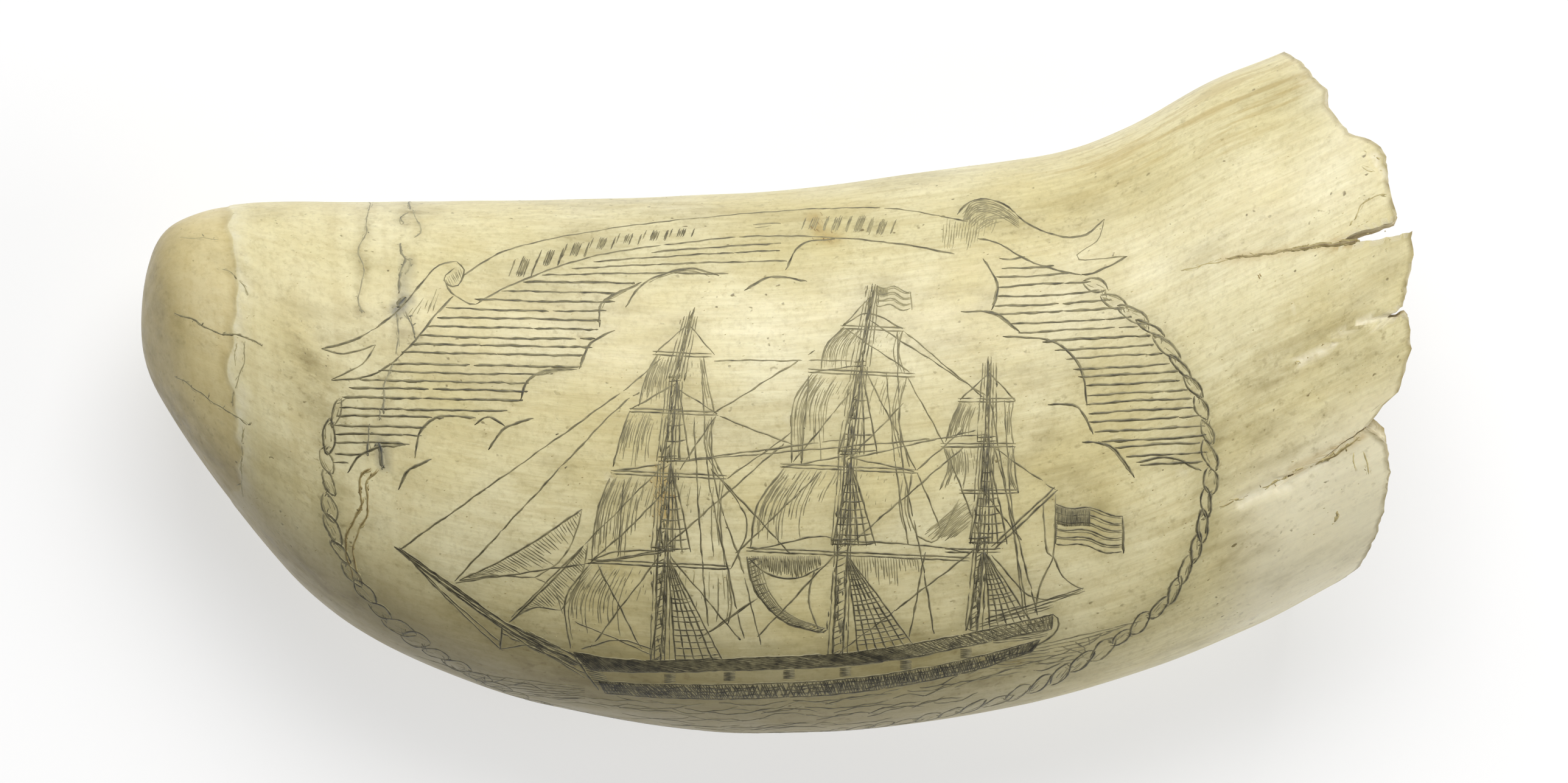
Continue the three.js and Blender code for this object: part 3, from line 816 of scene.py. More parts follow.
    # A staysail between the main and mizzen masts, and the spanker's folds at the gaff.
    cuts.shade([(19, -18.4), (25.6, -13)], [(22, -19.6), (27, -15.4)], steps(0, 1, 0.07), loose=0.3, ink=0.4,
               width=0.13)
    cuts.cut([(18.4, -18.2), (21, -18.9), (24, -13.6)], width=0.16, ink=0.55)
    cuts.cut([(34.8, -13.6), (35.2, -19.8), (36, -21)], width=0.16, ink=0.6)
    cuts.cut([(36.4, -13), (36.2, -20.4), (34.6, -24.4), (33.8, -28.2)], width=0.17, ink=0.65)
    cuts.cut([(36.1, -20.8), (37.6, -23.8), (40, -25.3)], width=0.17, ink=0.65)
    return cuts


def rigging():
    """Stays, braces and lifts as long thin lines, and shrouds with ratlines as nets that narrow upwards."""
    cuts = Engraving("rigging", 81)
    rng = cuts.rng
    stays = [
        ((-48.2, -20.1), (-21.5, -1.2), (-14.4, 4.6)), ((-41.1, -24.2), (-21.6, -3.4), (-17.2, 0.2)),
        ((-33.8, -28.9), (-13.9, -9)), ((-41, -24.4), (-14, -20.4)), ((-13.4, -8.8), (9.8, -5.8)),
        ((-13.6, -8.8), (27.6, -5.2)), ((-7.6, 4.3), (10.4, 4.3)), ((-7.8, -2.6), (5.4, 5.6)),
        ((-5.9, -10.9), (2.4, -5)), ((-6.9, -2.9), (2.6, -6.6)), ((-14.2, -20), (1.4, -6.4)),
        ((-5.4, -22.6), (-3.4, -16.2), (-8, -9.6)), ((8.9, 8.7), (12.2, 10.4), (16.7, 8.4)),
        ((12.4, 9.5), (27.4, -0.2)), ((17, 8), (27, -0.4)), ((9.4, 8.4), (17.6, 2.8)),
        ((11.4, 4), (18.4, -9.8)), ((17.3, 2.2), (22, -6.4)), ((18.6, -9.8), (24.4, -4.6)),
        ((9.6, -8.4), (26.6, -4.6)), ((10, -8.2), (18.2, -10)), ((18.6, -10.2), (21.6, -17.4)),
        ((-2.8, -20.2), (5.6, -18.4), (9, -19)), ((9.2, -18.9), (20, -19.6), (25.4, -20.6)),
        ((9.6, -19.6), (24.6, -6.8)), ((26.4, -19.8), (8.6, -33.4)), ((-2.4, -26.6), (-9.6, -31.6)),
        ((-8.2, -30.8), (-2, -26.4)), ((-14.4, -20.6), (-23.6, -32.8)), ((-13.2, -21), (-4.2, -31.8)),
        ((27.9, 2.8), (31.2, -0.9)), ((27.9, 2.8), (24.1, -0.8)), ((27.4, -6.2), (36.4, -12.4)),
        ((28, -0.8), (33, -29.4)), ((28.4, -6.4), (34.2, -28.6)), ((30.8, -6.6), (31.6, -12.8)),
        ((-10.6, 9.4), (-15.2, 5.2)), ((-10.8, 9), (-7.6, 5)), ((12.6, 12.6), (9, 8.8)),
        ((-12.8, 1.2), (-18.4, -2)), ((-12.8, 1), (-7.2, -2.6)), ((11, 3.6), (4.8, 2.8)),
        ((-13.8, -9), (-20.6, -9.9)), ((9.6, -8), (1.2, -9.4)), ((-13.8, -20), (-23.4, -21.8)),
        ((-23.8, -22), (-20.8, -20.4), (-14.4, -20.2)), ((27.2, -12.6), (32, -18.9)),
        ((-23.6, -21.8), (-14.8, -13.4), (-7.4, -2.8)), ((2.6, -8.8), (9.9, 0.2)),
        ((9.6, -8.6), (16.8, -1.2)), ((28.2, -20.8), (33.8, -26.4), (39.8, -25.4)),
        ((8.8, -19.8), (-2, -31.4)), ((-9.2, 4.4), (-8.4, -10), (-6.2, -21), (-3.8, -31.6)),
        ((-8, -3), (-7.4, -12), (-4.2, -21.8), (-1.6, -32.4)), ((-20, -21), (-19.2, -11)),
        ((-10.2, -3), (-9.4, -18), (-8.4, -30)), ((16, 8), (16.6, -8), (18.8, -19.4), (20.8, -31)),
        ((14.6, 2.6), (15.8, -9.4), (17.4, -19.4)), ((4.6, 2.4), (3.6, -9)), ((-6.6, -11), (2.2, -20.6)),
        ((-4.8, -20.6), (6.2, -10)), ((19.6, -20.4), (17.6, -31.4)), ((22.2, -7), (27, -19.2)),
        ((-22.6, -22), (-17, -33)), ((-25.6, -29.4), (-15.4, -33.8)),
        ((-15, -33.2), (-20, -31.8), (-24.8, -33)), ((29.8, -0.8), (30.6, -12.8), (32.4, -29)),
    ]
    for stay in stays:
        cuts.jabs(stay, width=0.16, ink=0.76, reach=15, shake=0.08)
        if rng.random() < 0.25:
            low, high = np.array(stay[0]), np.array(stay[-1])
            knot = [low * 0.4 + high * 0.6 - (0.1, 0), low * 0.395 + high * 0.605 + (0.1, 0.05)]
            cuts.cut(knot, width=0.32, ink=0.9)
    # Bobstays under the bowsprit.
    for end in ((-35.2, -32.2), (-35, -33.3), (-30.2, -33.6), (-24.4, -36.8)):
        cuts.cut([(-46.9, -21.4), ((-46.9 + end[0]) / 2, (-21.4 + end[1]) / 2 - 0.3), end], width=0.18, ink=0.82)
    cuts.cut([(-35, -29.8), (-35.3, -33.1)], width=0.24, ink=0.9)
    cuts.cut([(-35.2, -33), (-30.6, -32.6), (-25.4, -35)], width=0.18, ink=0.8)
    # Topmast shrouds and lower shrouds: apex, two feet, number of shrouds and of ratlines.
    nets = [
        ((-13.7, -20.7), (-12.6, -34.8), (-6.4, -34.8), 6, 15), ((-13.2, -8.8), (-15.2, -20.4), (-10.6, -20.4), 5, 8),
        ((9.4, -20.6), (11, -33.6), (18.2, -32.6), 7, 17), ((9.9, -8.6), (7.6, -19.6), (13.2, -19.6), 6, 9),
        ((27.2, -20.2), (28, -30.4), (33.4, -29.6), 6, 13), ((27.5, -6.8), (25.4, -19.4), (30.2, -19.4), 5, 10),
        ((-12.4, 2), (-14.4, -8.6), (-10.8, -8.6), 4, 5), ((11.3, 3.4), (8.4, -7.8), (13.4, -7.8), 4, 5),
        ((-13.9, -20.7), (-15.9, -34.6), (-14.6, -34.6), 2, 3), ((26.9, -20.3), (25, -30.6), (26.2, -30.8), 2, 3),
    ]
    for apex, left, right, count, rungs in nets:
        apex, left, right = (np.array(p, float) for p in (apex, left, right))
        for share in np.linspace(0, 1, count):
            foot = left * (1 - share) + right * share
            cuts.cut([apex + (foot - apex) * 0.02, (apex + foot) / 2 + (0.1, 0), foot], width=0.18, ink=0.85,
                     shake=0.05)
        for rung in np.linspace(0.16, 0.97, rungs):
            rung += rng.normal(0, 0.008)
            a, b = apex + (left - apex) * rung, apex + (right - apex) * (rung + rng.normal(0, 0.008))
            cuts.cut([a, (a + b) / 2 - (0, 0.12), b], width=0.16, ink=0.8, step=0.6, shake=0.04)
    return cuts


def hull():
    """The side as three bands between four long curves: bulwarks hatched both ways, a pale strip of gun ports and a
    dark wale, with the bow's curl and the stern."""
    cuts = Engraving("hull", 91)
    for edge, ink in ((HULL_TOP, 0.8), (HULL_RAIL, 0.75), (HULL_WALE, 0.75), (HULL_WATER, 0.85)):
        cuts.jabs(edge, width=0.22, ink=ink, reach=12, shake=0.06)

    def band(upper, lower, gap, lean, ink, width=0.17, share=(0, 1)):
        """Short strokes across a band, a gap apart, which lean forward by lean."""
        for t in steps(share[0], share[1], gap):
            t += cuts.rng.normal(0, gap / 3)
            a, b = spline(upper, np.array([t]))[0], spline(lower, np.array([t + lean]))[0]
            cuts.cut([a, (a + b) / 2 + (cuts.rng.normal(0, 0.08), 0), b], width=width, ink=ink, step=0.45, shake=0.03)

    def run(upper, lower, rows, **hand):
        """Long strokes along a band, at even heights in it."""
        for share in np.linspace(0, 1, rows + 2)[1:-1]:
            t = np.linspace(0, 1, 24)
            cuts.jabs(spline(upper, t) * (1 - share) + spline(lower, t) * share, reach=4, shake=0.14, **hand)

    band(HULL_TOP, HULL_RAIL, 0.0055, 0.012, 0.72)
    band(HULL_TOP, HULL_RAIL, 0.0085, -0.012, 0.6)
    band(HULL_TOP, HULL_RAIL, 0.0035, 0.006, 0.9, 0.22, share=(0, 0.2))
    band(HULL_TOP, HULL_RAIL, 0.004, 0.008, 0.9, 0.22, share=(0.52, 0.68))
    run(HULL_TOP, HULL_RAIL, 2, width=0.2, ink=0.6)
    band(HULL_WALE, HULL_WATER, 0.0052, 0.012, 0.85, 0.2)
    band(HULL_WALE, HULL_WATER, 0.0075, -0.01, 0.8, 0.18)
    run(HULL_WALE, HULL_WATER, 3, width=0.28, ink=0.85)
    for x in GUN_PORTS:
        y = read_off(HULL_RAIL, x) - 0.3
        for row in steps(0, 1.05, 0.17):
            cuts.cut([(x, y - row), (x + 1.5, y - row + 0.08)], width=0.2, ink=0.82, shake=0.03)
    # The cutwater, with its dark knee.
    cuts.cut([(-25.8, -33.6), (-24.6, -35.6), (-22.6, -38.4)], width=0.26, ink=0.9)
    for t in steps(0, 1, 0.08):
        cuts.cut([(-25.4 + 2.4 * t, -34 - 3.6 * t), (-22.8 + 2 * t, -34.6 - 3.4 * t)], width=0.22, ink=0.88,
                 shake=0.05)
    # The stern curls over, lined along its curve.
    cuts.cut([(36.2, -28.5), (36.9, -29.3), (36.4, -31), (34.4, -32.4), (33, -33.2)], width=0.22, ink=0.85)
    for t in steps(0, 1, 0.14):
        cuts.cut([(28.4, -30.6 - 1.6 * t), (33, -29.8 - 1.9 * t), (36.2 - 0.8 * t, -28.9 - 2.4 * t)], width=0.15,
                 ink=0.6)
    cuts.twice([(26.6, -29.9), (36.2, -27.4)], apart=0.35, width=0.15, ink=0.65)
    return cuts


def flag(cuts, corner, length, drop, stripes, ink, solid):
    """A flag that streams right from its hoist: wavy stripes, and a closely hatched field in its upper corner."""
    x0, y0 = corner
    across = np.linspace(0, 1, 9)

    def wave(row):
        y = y0 - drop * row - 0.28 * np.sin(across * 9 + row) - 0.17 * length * across
        return np.column_stack([x0 + length * across - 0.1 * row, y])

    for row in np.linspace(0, 1, stripes):
        cuts.cut(wave(row), width=0.17, ink=ink, step=0.5, shake=0.03)
        if row < 0.97:
            cuts.cut(wave(row + 0.35 / stripes)[::2], width=0.14, ink=ink * 0.7, step=0.5, shake=0.03)
    cuts.cut([wave(0)[0], wave(1)[0]], width=0.2, ink=ink)
    cuts.cut([wave(0)[-1], wave(1)[-1] - (-0.2, 0.2)], width=0.22, ink=ink)
    for share in steps(0.02, solid, 0.16 / length):
        top, foot = (np.array([np.interp(share, across, wave(row)[:, k]) for k in (0, 1)]) for row in (0, 0.5))
        cuts.cut([top, foot + (0.06, 0)], width=0.16, ink=ink * 0.95, step=0.5, shake=0.02)


def flags():
    """A flag at the gaff, and a small one at the main truck."""
    cuts = Engraving("flags", 101)
    flag(cuts, (36.5, -14.2), 8.6, 4.9, 6, ink=0.82, solid=0.5)
    flag(cuts, (13.4, 14), 4.4, 2.4, 4, ink=0.55, solid=0.3)
    return cuts


def sea():
    """Rows of short waves that follow the hull's foot, and swell round the convex edge."""
    cuts = Engraving("sea", 111)
    rng = cuts.rng
    foot = spline([(-58, -31), (-40, -36.4)] + HULL_WATER[::2] + [(46, -30), (54, -27)], np.linspace(0, 1, 120))
    edge = spline(ROPE_PATH[8:20], np.linspace(0, 1, 120))
    for row in np.arange(0.5, 15, 0.62):
        x = -40 + rng.uniform(0, 5)
        while x < 44:
            length = rng.uniform(3.5, 11)
            xs = np.linspace(x, x + length, 6)
            bow = 0.9 * np.sin(np.linspace(0, np.pi, 6) + rng.uniform(-0.6, 0.6)) * rng.choice([-0.45, 0.6])
            ys = read_off(foot, xs) - row * (1 + 0.1 * np.sin(x)) + bow
            low = read_off(edge, xs) + 1.3
            if (ys > low).all():
                cuts.cut(np.column_stack([xs, ys]), width=0.19, ink=rng.uniform(0.45, 0.85), shake=0.12)
            x += length * rng.uniform(0.7, 1.3)
    # The horizon, on both sides of the ship.
    for k in range(7):
        lift = 0.5 * k
        cuts.jabs([(-46.6 + 2.4 * k, -34.4 - lift), (-38, -36.4 - lift), (-24.4, -38 - 0.5 * lift)], width=0.17,
                  ink=0.6)
        cuts.jabs([(34 - k, -32.6 - lift), (40, -31.2 - lift), (47.6 - 1.7 * k, -29.4 - 1.1 * lift)], width=0.17,
                  ink=0.55)
    return cuts


# ---- Age: cracks and stain ----

# Shakes in the tooth that ink and dirt have crept into: a path, a width and a darkness.
TIP_CRACKS = [
    ([(-77.6, 10.4), (-75, 9.5), (-72, 8), (-69, 7.5), (-67.6, 7), (-66, 6.2)], 0.2, 0.7),
    ([(-77.4, 2.2), (-76, 1.5), (-73, -0.8), (-71, -2), (-70, -2.4), (-68, -4)], 0.18, 0.62),
    ([(-77, 20.2), (-74.6, 20.3), (-71.9, 20)], 0.14, 0.25),
    ([(-72, 16.2), (-70, 15.6), (-68.6, 14.2), (-67.8, 12.8)], 0.15, 0.35),
    ([(-68.6, -4.2), (-68.8, -8), (-68.8, -13.4)], 0.15, 0.35),
    ([(-68.3, 6.8), (-68.5, 4), (-69.4, 1), (-70, -1.6)], 0.17, 0.4),
    ([(-69.3, 6.6), (-69.6, 3.6)], 0.12, 0.25),
]
GREY_SHAKES = [
    ([(-52.6, 28), (-52.4, 24.5), (-52.9, 22.5), (-52.6, 21), (-53.4, 19.5), (-53.5, 18), (-53, 16.5)], 0.2, 0.6),
    ([(-53, 16.5), (-52.8, 15.4), (-53.4, 13.6), (-53.6, 12), (-53.2, 10.4)], 0.16, 0.55),
    ([(-47.6, 28), (-47.3, 25), (-47.2, 23.6), (-48.3, 22.8), (-47.9, 22.1)], 0.3, 0.7),
    ([(-46.8, 24.4), (-46.3, 22.6), (-45.6, 21), (-46.5, 20.3)], 0.22, 0.5),
    ([(-48.3, 19.5), (-48.2, 18.2), (-47.4, 17.4), (-48.1, 16), (-48.2, 14.6), (-48.5, 13)], 0.3, 0.75),
    ([(-46.9, 17.6), (-46.8, 16.6), (-47.6, 15.6)], 0.18, 0.45),
    ([(-48.6, 11.2), (-48, 11.8), (-47.4, 12.5)], 0.6, 0.95),
    ([(-48.6, 10.4), (-48.3, 9), (-48.4, 7), (-48.7, 5.2)], 0.18, 0.65),
    ([(-47.5, 10.6), (-46.7, 9.2), (-46.2, 7.6)], 0.22, 0.75),
    ([(-48.8, 4), (-50, 2), (-50.2, 0), (-50.1, -2.6)], 0.24, 0.6),
    ([(-50.9, -1.8), (-50.8, -3.4)], 0.2, 0.6), ([(-52, -4.2), (-52.2, -6), (-52.3, -8)], 0.22, 0.85),
    ([(-50.7, -6.2), (-50.5, -8), (-50.3, -9.6)], 0.42, 0.95),
]
BROWN_SHAKES = [
    ([(-51.9, -9.6), (-53.3, -11), (-53.2, -14.2), (-54.8, -17.6), (-55.2, -20.4), (-54.4, -24)], 0.24, 0.8),
    ([(-50.9, -9.8), (-52.4, -11.4), (-52.3, -15), (-53.8, -18.2), (-54.2, -21), (-53.4, -24.6)], 0.22, 0.72),
    ([(75.4, 19.9), (73.4, 19.4), (70.4, 19.1), (66.8, 18.5)], 0.42, 0.95),
    ([(70, 19), (66.8, 18.5), (62, 17.9), (58.6, 17.4)], 0.28, 0.75),
    ([(59.4, 17.5), (56.6, 16.8), (52.6, 15.9)], 0.14, 0.3), ([(75.3, 19.7), (73, 19.5)], 0.4, 0.7),
    ([(75.8, -5.7), (74.6, -6.4), (72.6, -7.8), (70, -9.1), (67, -10.3)], 0.22, 0.75),
    ([(67.2, -10.2), (66.4, -10.6)], 0.42, 0.8),
    ([(66.4, -10.6), (63.6, -12), (60.6, -13.3), (57.6, -14.6)], 0.16, 0.4),
    ([(68.2, 4.6), (71, 6.4), (74, 8.4)], 0.12, 0.3), ([(67.9, 4.2), (67.3, 4)], 0.4, 0.3),
    ([(76.2, 31.4), (77.4, 31), (78.4, 30)], 0.12, 0.35),
    ([(76, 29.4), (77.2, 28.8), (78.6, 28.8)], 0.12, 0.3),
    ([(75, 22.4), (75.9, 24.4), (77.4, 25.5), (79.2, 25.7)], 0.14, 0.35),
    ([(76.4, -7.4), (77, -10.4)], 0.16, 0.25), ([(75, -7.6), (75.2, -10)], 0.14, 0.22),
    ([(73.2, -15.6), (72.6, -16.6)], 0.3, 0.4),
]

# Rust and varnish: the middle of each patch, its half width and half height, and how many spots it has.
STAIN_SPOTS = [((-14.3, -12.4), 1.1, 3.6, 46), ((6, 21.8), 1.4, 1.6, 16), ((7.2, 20), 0.9, 0.3, 10),
               ((62.6, 15.2), 0.4, 0.2, 4)]


def age_lines(name, seed, paths):
    """Old cracks as wavering lines that thin and thicken, with a broken second line and knots where dirt has
    gathered."""
    cuts = Engraving(name, seed)
    rng = cuts.rng
    for path, width, ink in paths:
        cuts.cut(path, width=width, ink=ink, step=0.5, shake=0.16)
        cuts.jabs(path, width=width * 0.6, ink=ink * 0.7, reach=1.1, step=0.4, shake=0.32)
        for at in walk(path, 0.8)[0]:
            if rng.random() < 0.55 * ink:
                at = at + rng.normal(0, 0.16, 2)
                cuts.cut([at, at + rng.normal(0, 0.3, 2)], width=rng.uniform(0.16, 0.4),
                         ink=rng.uniform(0.4, 0.9), step=0.4, shake=0.03)
    return cuts


def speckle(name, seed, count, low, high):
    """Pits that hold dirt: tiny cuts scattered over a stretch of the picture's plane, thicker by the rope and in some
    places."""
    cuts = Engraving(name, seed)
    rng = cuts.rng
    for x, y in rng.uniform(low, high, (count, 2)):
        thick = mottle(np.array([x, y]), 11, 3 + seed) + 0.7 * near(np.array([x, y]), ROPE_PATH, 5)
        if thick > rng.uniform(-0.4, 1.1) and x < rim_x(y, True) - 1.2:
            cuts.cut([(x, y), (x + rng.uniform(0.1, 0.3), y + 0.08)], width=rng.uniform(0.1, 0.26),
                     ink=0.75 * rng.uniform(0.2, 0.9), step=0.3, shake=0)
    return cuts


def rust(name, seed):
    """Spots of rust and old varnish, thicker towards the middle of each patch."""
    cuts = Engraving(name, seed)
    rng = cuts.rng
    for middle, wide, tall, number in STAIN_SPOTS:
        for a, b in rng.normal(0, 0.6, (number, 2)):
            x, y = middle[0] + wide * a, middle[1] + tall * b
            cuts.cut([(x, y), (x + 0.2, y - rng.uniform(0, 0.5))], width=rng.uniform(0.2, 0.5),
                     ink=rng.uniform(0.3, 0.9), step=0.3, shake=0)
    return cuts


# ---- Materials ----


def linear(code):
    """An sRGB hex colour as the shader's linear values: the standard curve, which is a power of 2.4 but for a
    foot."""
    parts = [int(code[k : k + 2], 16) / 255 for k in (1, 3, 5)]
    return tuple(c / 12.92 if c <= 0.04045 else ((c + 0.055) / 1.055) ** 2.4 for c in parts) + (1.0,)


def node(tree, kind, settings=None, **links):
    """Adds a node. settings set its own values, and links its sockets: from a value or from another node's socket.
    A socket is named with _ for a space, or by its number after an s."""
    made = tree.nodes.new(kind)
    for key, value in (settings or {}).items():
        setattr(made, key, value)
    for key, value in links.items():
        socket = made.inputs[int(key[1:])] if key[1:].isdigit() else made.inputs[key.replace("_", " ")]
        if isinstance(value, bpy.types.NodeSocket):
            tree.links.new(value, socket)
        else:
            socket.default_value = value
    return made


def new_material(name):
    """A material with only its shader and its output, ready to be wired."""
    material = bpy.data.materials.new(name)
    material.use_nodes = True
    return material, material.node_tree, material.node_tree.nodes["Principled BSDF"]


def blend_colour(share, a, b):
    """Colour a turning to b as share, which comes from a node, goes from 0 to 1."""
    return node(share.id_data, "ShaderNodeMix", {"data_type": "RGBA"}, s0=share, s6=a, s7=b).outputs[2]


def ramp(value, low, high, to_low=0.0, to_high=1.0):
    """A value's range low..high made to_low..to_high and held there."""
    made = node(value.id_data, "ShaderNodeMapRange", None, s0=value, s1=low, s2=high, s3=to_low, s4=to_high)
    return made.outputs[0]


def times(a, b):
    """The product of two values, the first from a node."""
    return node(a.id_data, "ShaderNodeMath", {"operation": "MULTIPLY"}, s0=a, s1=b).outputs[0]


def plus(a, b):
    """The sum of two values, the first from a node, held between 0 and 1."""
    return node(a.id_data, "ShaderNodeMath", {"operation": "ADD", "use_clamp": True}, s0=a, s1=b).outputs[0]


def old_polished_ivory():
    """Tooth ivory, scraped smooth, polished and handled for two lifetimes: a warm satin gloss over cream that has
    yellowed in clouds, with grain along the tooth 0.3 mm wide, dirt in flecks 0.4 to 1 mm across, a tan cap of bare
    dentine with a chalky line round it, and pale rough breaks with amber edges. Painted shade darkens the underside
    of the curve, and a painted light pales the lower side of the root. The attributes say where each is."""
    material, tree, shader = new_material("old_polished_ivory")

    def attribute(name):
        """An attribute of the mesh as one value."""
        return node(tree, "ShaderNodeAttribute", {"attribute_name": name}).outputs["Fac"]

    bar = node(tree, "ShaderNodeAttribute", {"attribute_name": "straight"}).outputs["Vector"]

    def noise(size, long=1.0, detail=4.0, rough=0.5):
        """Noise with grains of this size in mm across the tooth, and so many times longer along it."""
        scale = (1 / size / long, 1 / size, 1 / size)
        place = node(tree, "ShaderNodeMapping", None, Vector=bar, Scale=scale).outputs[0]
        made = node(tree, "ShaderNodeTexNoise", None, Vector=place, Scale=1.0, Detail=detail, Roughness=rough)
        return made.outputs["Fac"]

    past, banded, streaked = attribute("past_cap"), attribute("banded"), attribute("streaked")
    dirt_and_shade, haze, stain = attribute("dirt_and_shade"), attribute("haze"), attribute("stain")
    fresh, inside, from_edge = attribute("fresh"), attribute("inside"), attribute("from_edge")
    grain = ramp(noise(0.5, 12.0, 5.0, 0.65), 0.4, 0.7)
    streaks = times(ramp(noise(1.2, 11.0, 3.0), 0.48, 0.62), streaked)
    rings = times(ramp(noise(15.0, 0.12, 3.0), 0.46, 0.68), banded)
    brown_line = times(ramp(past, -1.6, -0.4), ramp(past, 0.1, -0.15))
    chalk_line = times(ramp(past, 0.0, 0.2), ramp(past, 2.6, 0.5))
    dirt_and_shade_share = plus(times(ramp(noise(2.4, 2.5, 8.0, 0.6), 0.42, 0.66), dirt_and_shade), times(dirt_and_shade, 0.3))
    fleck_places = plus(ramp(noise(11), 0.42, 0.66, 0.12, 0.6), plus(dirt_and_shade, times(haze, 0.4)))
    flecks = times(ramp(noise(0.9, 1.3, 2.5, 0.6), 0.57, 0.75), fleck_places)
    pits = times(ramp(noise(0.8, 1.3, 1.0), 0.72, 0.78), ramp(noise(9), 0.45, 0.6, 0.1, 0.8))

    # Each layer is how much of it there is, and its colour.
    layers = [
        (times(grain, ramp(banded, 0.0, 1.0, 0.34, 0.12)), "#AC9E6A"),
        (ramp(noise(2.0, 5.0, 6.0, 0.65), 0.45, 0.75, 0.0, 0.3), "#C2B581"),
        (ramp(noise(0.9, 1.0, 4.0, 0.7), 0.48, 0.76, 0.0, 0.4), "#A29360"),
        (streaks, "#B09857"),
        # A painted light that pales the lower side of the root.
        (attribute("painted_root_light"), "#F6F0D8"),
        (times(rings, 0.25), "#BFAF7C"),
        # The cap, tan and darkening to its end, then a brown line at the step, then a chalky line.
        (ramp(past, -0.6, 0.15, 0.42, 0.0), "#C6AF6E"),
        (ramp(past, -13.0, -4.0, 0.34, 0.0), "#9C8744"),
        (times(brown_line, ramp(noise(3.0), 0.35, 0.6, 0.05, 0.45)), "#A28F58"),
        (times(chalk_line, ramp(noise(2.0), 0.3, 0.7, 0.05, 0.42)), "#E9E5CF"),
        # The underside of the curve and the tip: brown where hands and shelves have stained it, deepened with painted
        # shade under the curve.
        (attribute("tan_and_underside_shade"), "#7C6726"),
        # Dirt all over, with painted shade along the convex edge and more darkening towards the tip, ink rubbed about
        # by the cuts, flecks, pits, and blue-grey stain along two cracks.
        (dirt_and_shade_share, "#8A7B4B"),
        (times(haze, ramp(noise(1.3, 3.0, 6.0, 0.6), 0.3, 0.7, 0.3, 0.85)), "#857C50"),
        (times(flecks, 0.6), "#7C6C3E"),
        (pits, "#66582F"),
        (stain, "#565A5F"),
        # The worn edge, rust and varnish, fresh breaks, and the inside.
        (times(ramp(from_edge, 0.1, 0.9, 0.85, 0.0), ramp(noise(2.6), 0.32, 0.55, 0.25, 1.0)), "#7E6E3E"),
        (attribute("amber"), "#A5812F"),
        (times(fresh, ramp(noise(1.0, 1.0, 5.0), 0.35, 0.6, 0.35, 0.85)), "#EEE6C8"),
        (times(inside, 0.7), "#AD9860"),
    ]
    colour = blend_colour(ramp(noise(17), 0.35, 0.65), linear("#E6DEB5"), linear("#DACE9A"))
    for share, code in layers:
        colour = blend_colour(share, colour, linear(code))
    tree.links.new(colour, shader.inputs["Base Color"])

    chalky = plus(fresh, inside)
    gloss = ramp(noise(1.8, 4.0), 0.3, 0.75, 0.34, 0.5)
    tree.links.new(plus(gloss, times(chalky, 0.35)), shader.inputs["Roughness"])
    relief = plus(times(grain, 0.25), plus(times(flecks, 0.35), times(pits, 0.8)))
    height = plus(relief, times(chalky, noise(0.9, 1.0, 6.0)))
    bump = node(tree, "ShaderNodeBump", {"invert": True}, Strength=0.3, Distance=0.00012, Height=height)
    tree.links.new(bump.outputs[0], shader.inputs["Normal"])
    shader.inputs["IOR"].default_value = 1.48
    shader.inputs["Subsurface Weight"].default_value = 0.1
    shader.inputs["Subsurface Radius"].default_value = (1.0, 0.72, 0.4)
    shader.inputs["Subsurface Scale"].default_value = 0.0012
    return material


def rubbed_ink(name, faint, strong):
    """Lamp black and oil rubbed into a cut and wiped off: dull, and broken where the pigment has gone."""
    material, tree, shader = new_material(name)
    place = node(tree, "ShaderNodeTexCoord").outputs["Object"]
    blotches = node(tree, "ShaderNodeTexNoise", None, Vector=place, Scale=1 / (1.1 * MM), Detail=3.0)
    worn = ramp(blotches.outputs["Fac"], 0.3, 0.7, -0.14, 0.14)
    tone = plus(node(tree, "ShaderNodeAttribute", {"attribute_name": "ink"}).outputs["Fac"], worn)
    tree.links.new(blend_colour(tone, linear(faint), linear(strong)), shader.inputs["Base Color"])
    shader.inputs["Roughness"].default_value = 0.5
    return material


# ---- The pieces ----


HAZE_GRID, HAZE_LOW = 0.7, (-84, -66)


def haze_over(engravings):
    """How much ink is near each point of the picture's plane: the cuts' widths added up over a grid, then spread."""
    rings = np.concatenate([line for cuts in engravings for line in cuts.lines])
    edges = [np.arange(low, high, HAZE_GRID) for low, high in zip(HAZE_LOW, (85, 45))]
    weight = np.histogram2d(rings[:, 0], rings[:, 1], bins=edges, weights=rings[:, 2] * rings[:, 3])[0]
    for axis in (0, 1):
        for _ in range(3):
            weight = (np.roll(weight, 1, axis) + weight + np.roll(weight, -1, axis)) / 3
    return 0.5 * np.clip(weight / 0.34, 0, 1) ** 0.75


# Where the skin is marked, each patch a strength, a path in plan and the half width of its bell.
SPLIT_DIRT = [
    (1, [(62, 2), (74, 6)], 4), (1, [(57, -9), (70, -6)], 4), (1, [(59, -22), (63, -19)], 2.2),
    (1, [(-61, 5), (-58, -5)], 3), (1, [(36, -7), (42, -15)], 3.5),
]
GREY_STAIN = [
    (0.75, [(-48.6, 10.6), (-47.4, 12.2)], 0.8), (0.65, [(-50.4, -6.4), (-50.2, -9.4)], 0.6),
    (0.35, [(-47.8, 13), (-47.2, 17)], 0.8),
]
AMBER_STAIN = [
    (0.8, [(75.4, 19.9), (72.6, 19.4)], 0.6), (0.4, [(73, 19.3), (58, 17.3)], 0.5),
    (0.55, [(76, -5.4), (67, -10.2)], 0.5), (0.6, [(-14.4, -10), (-13.8, -16)], 1.1),
    (0.5, [(5.2, 22.8), (6.4, 20.2), (8, 20.1)], 0.8),
]


def marked(place, patches):
    """The strongest of some patches at each point."""
    return np.max([strength * near(place, path, width) for strength, path, width in patches], axis=0)


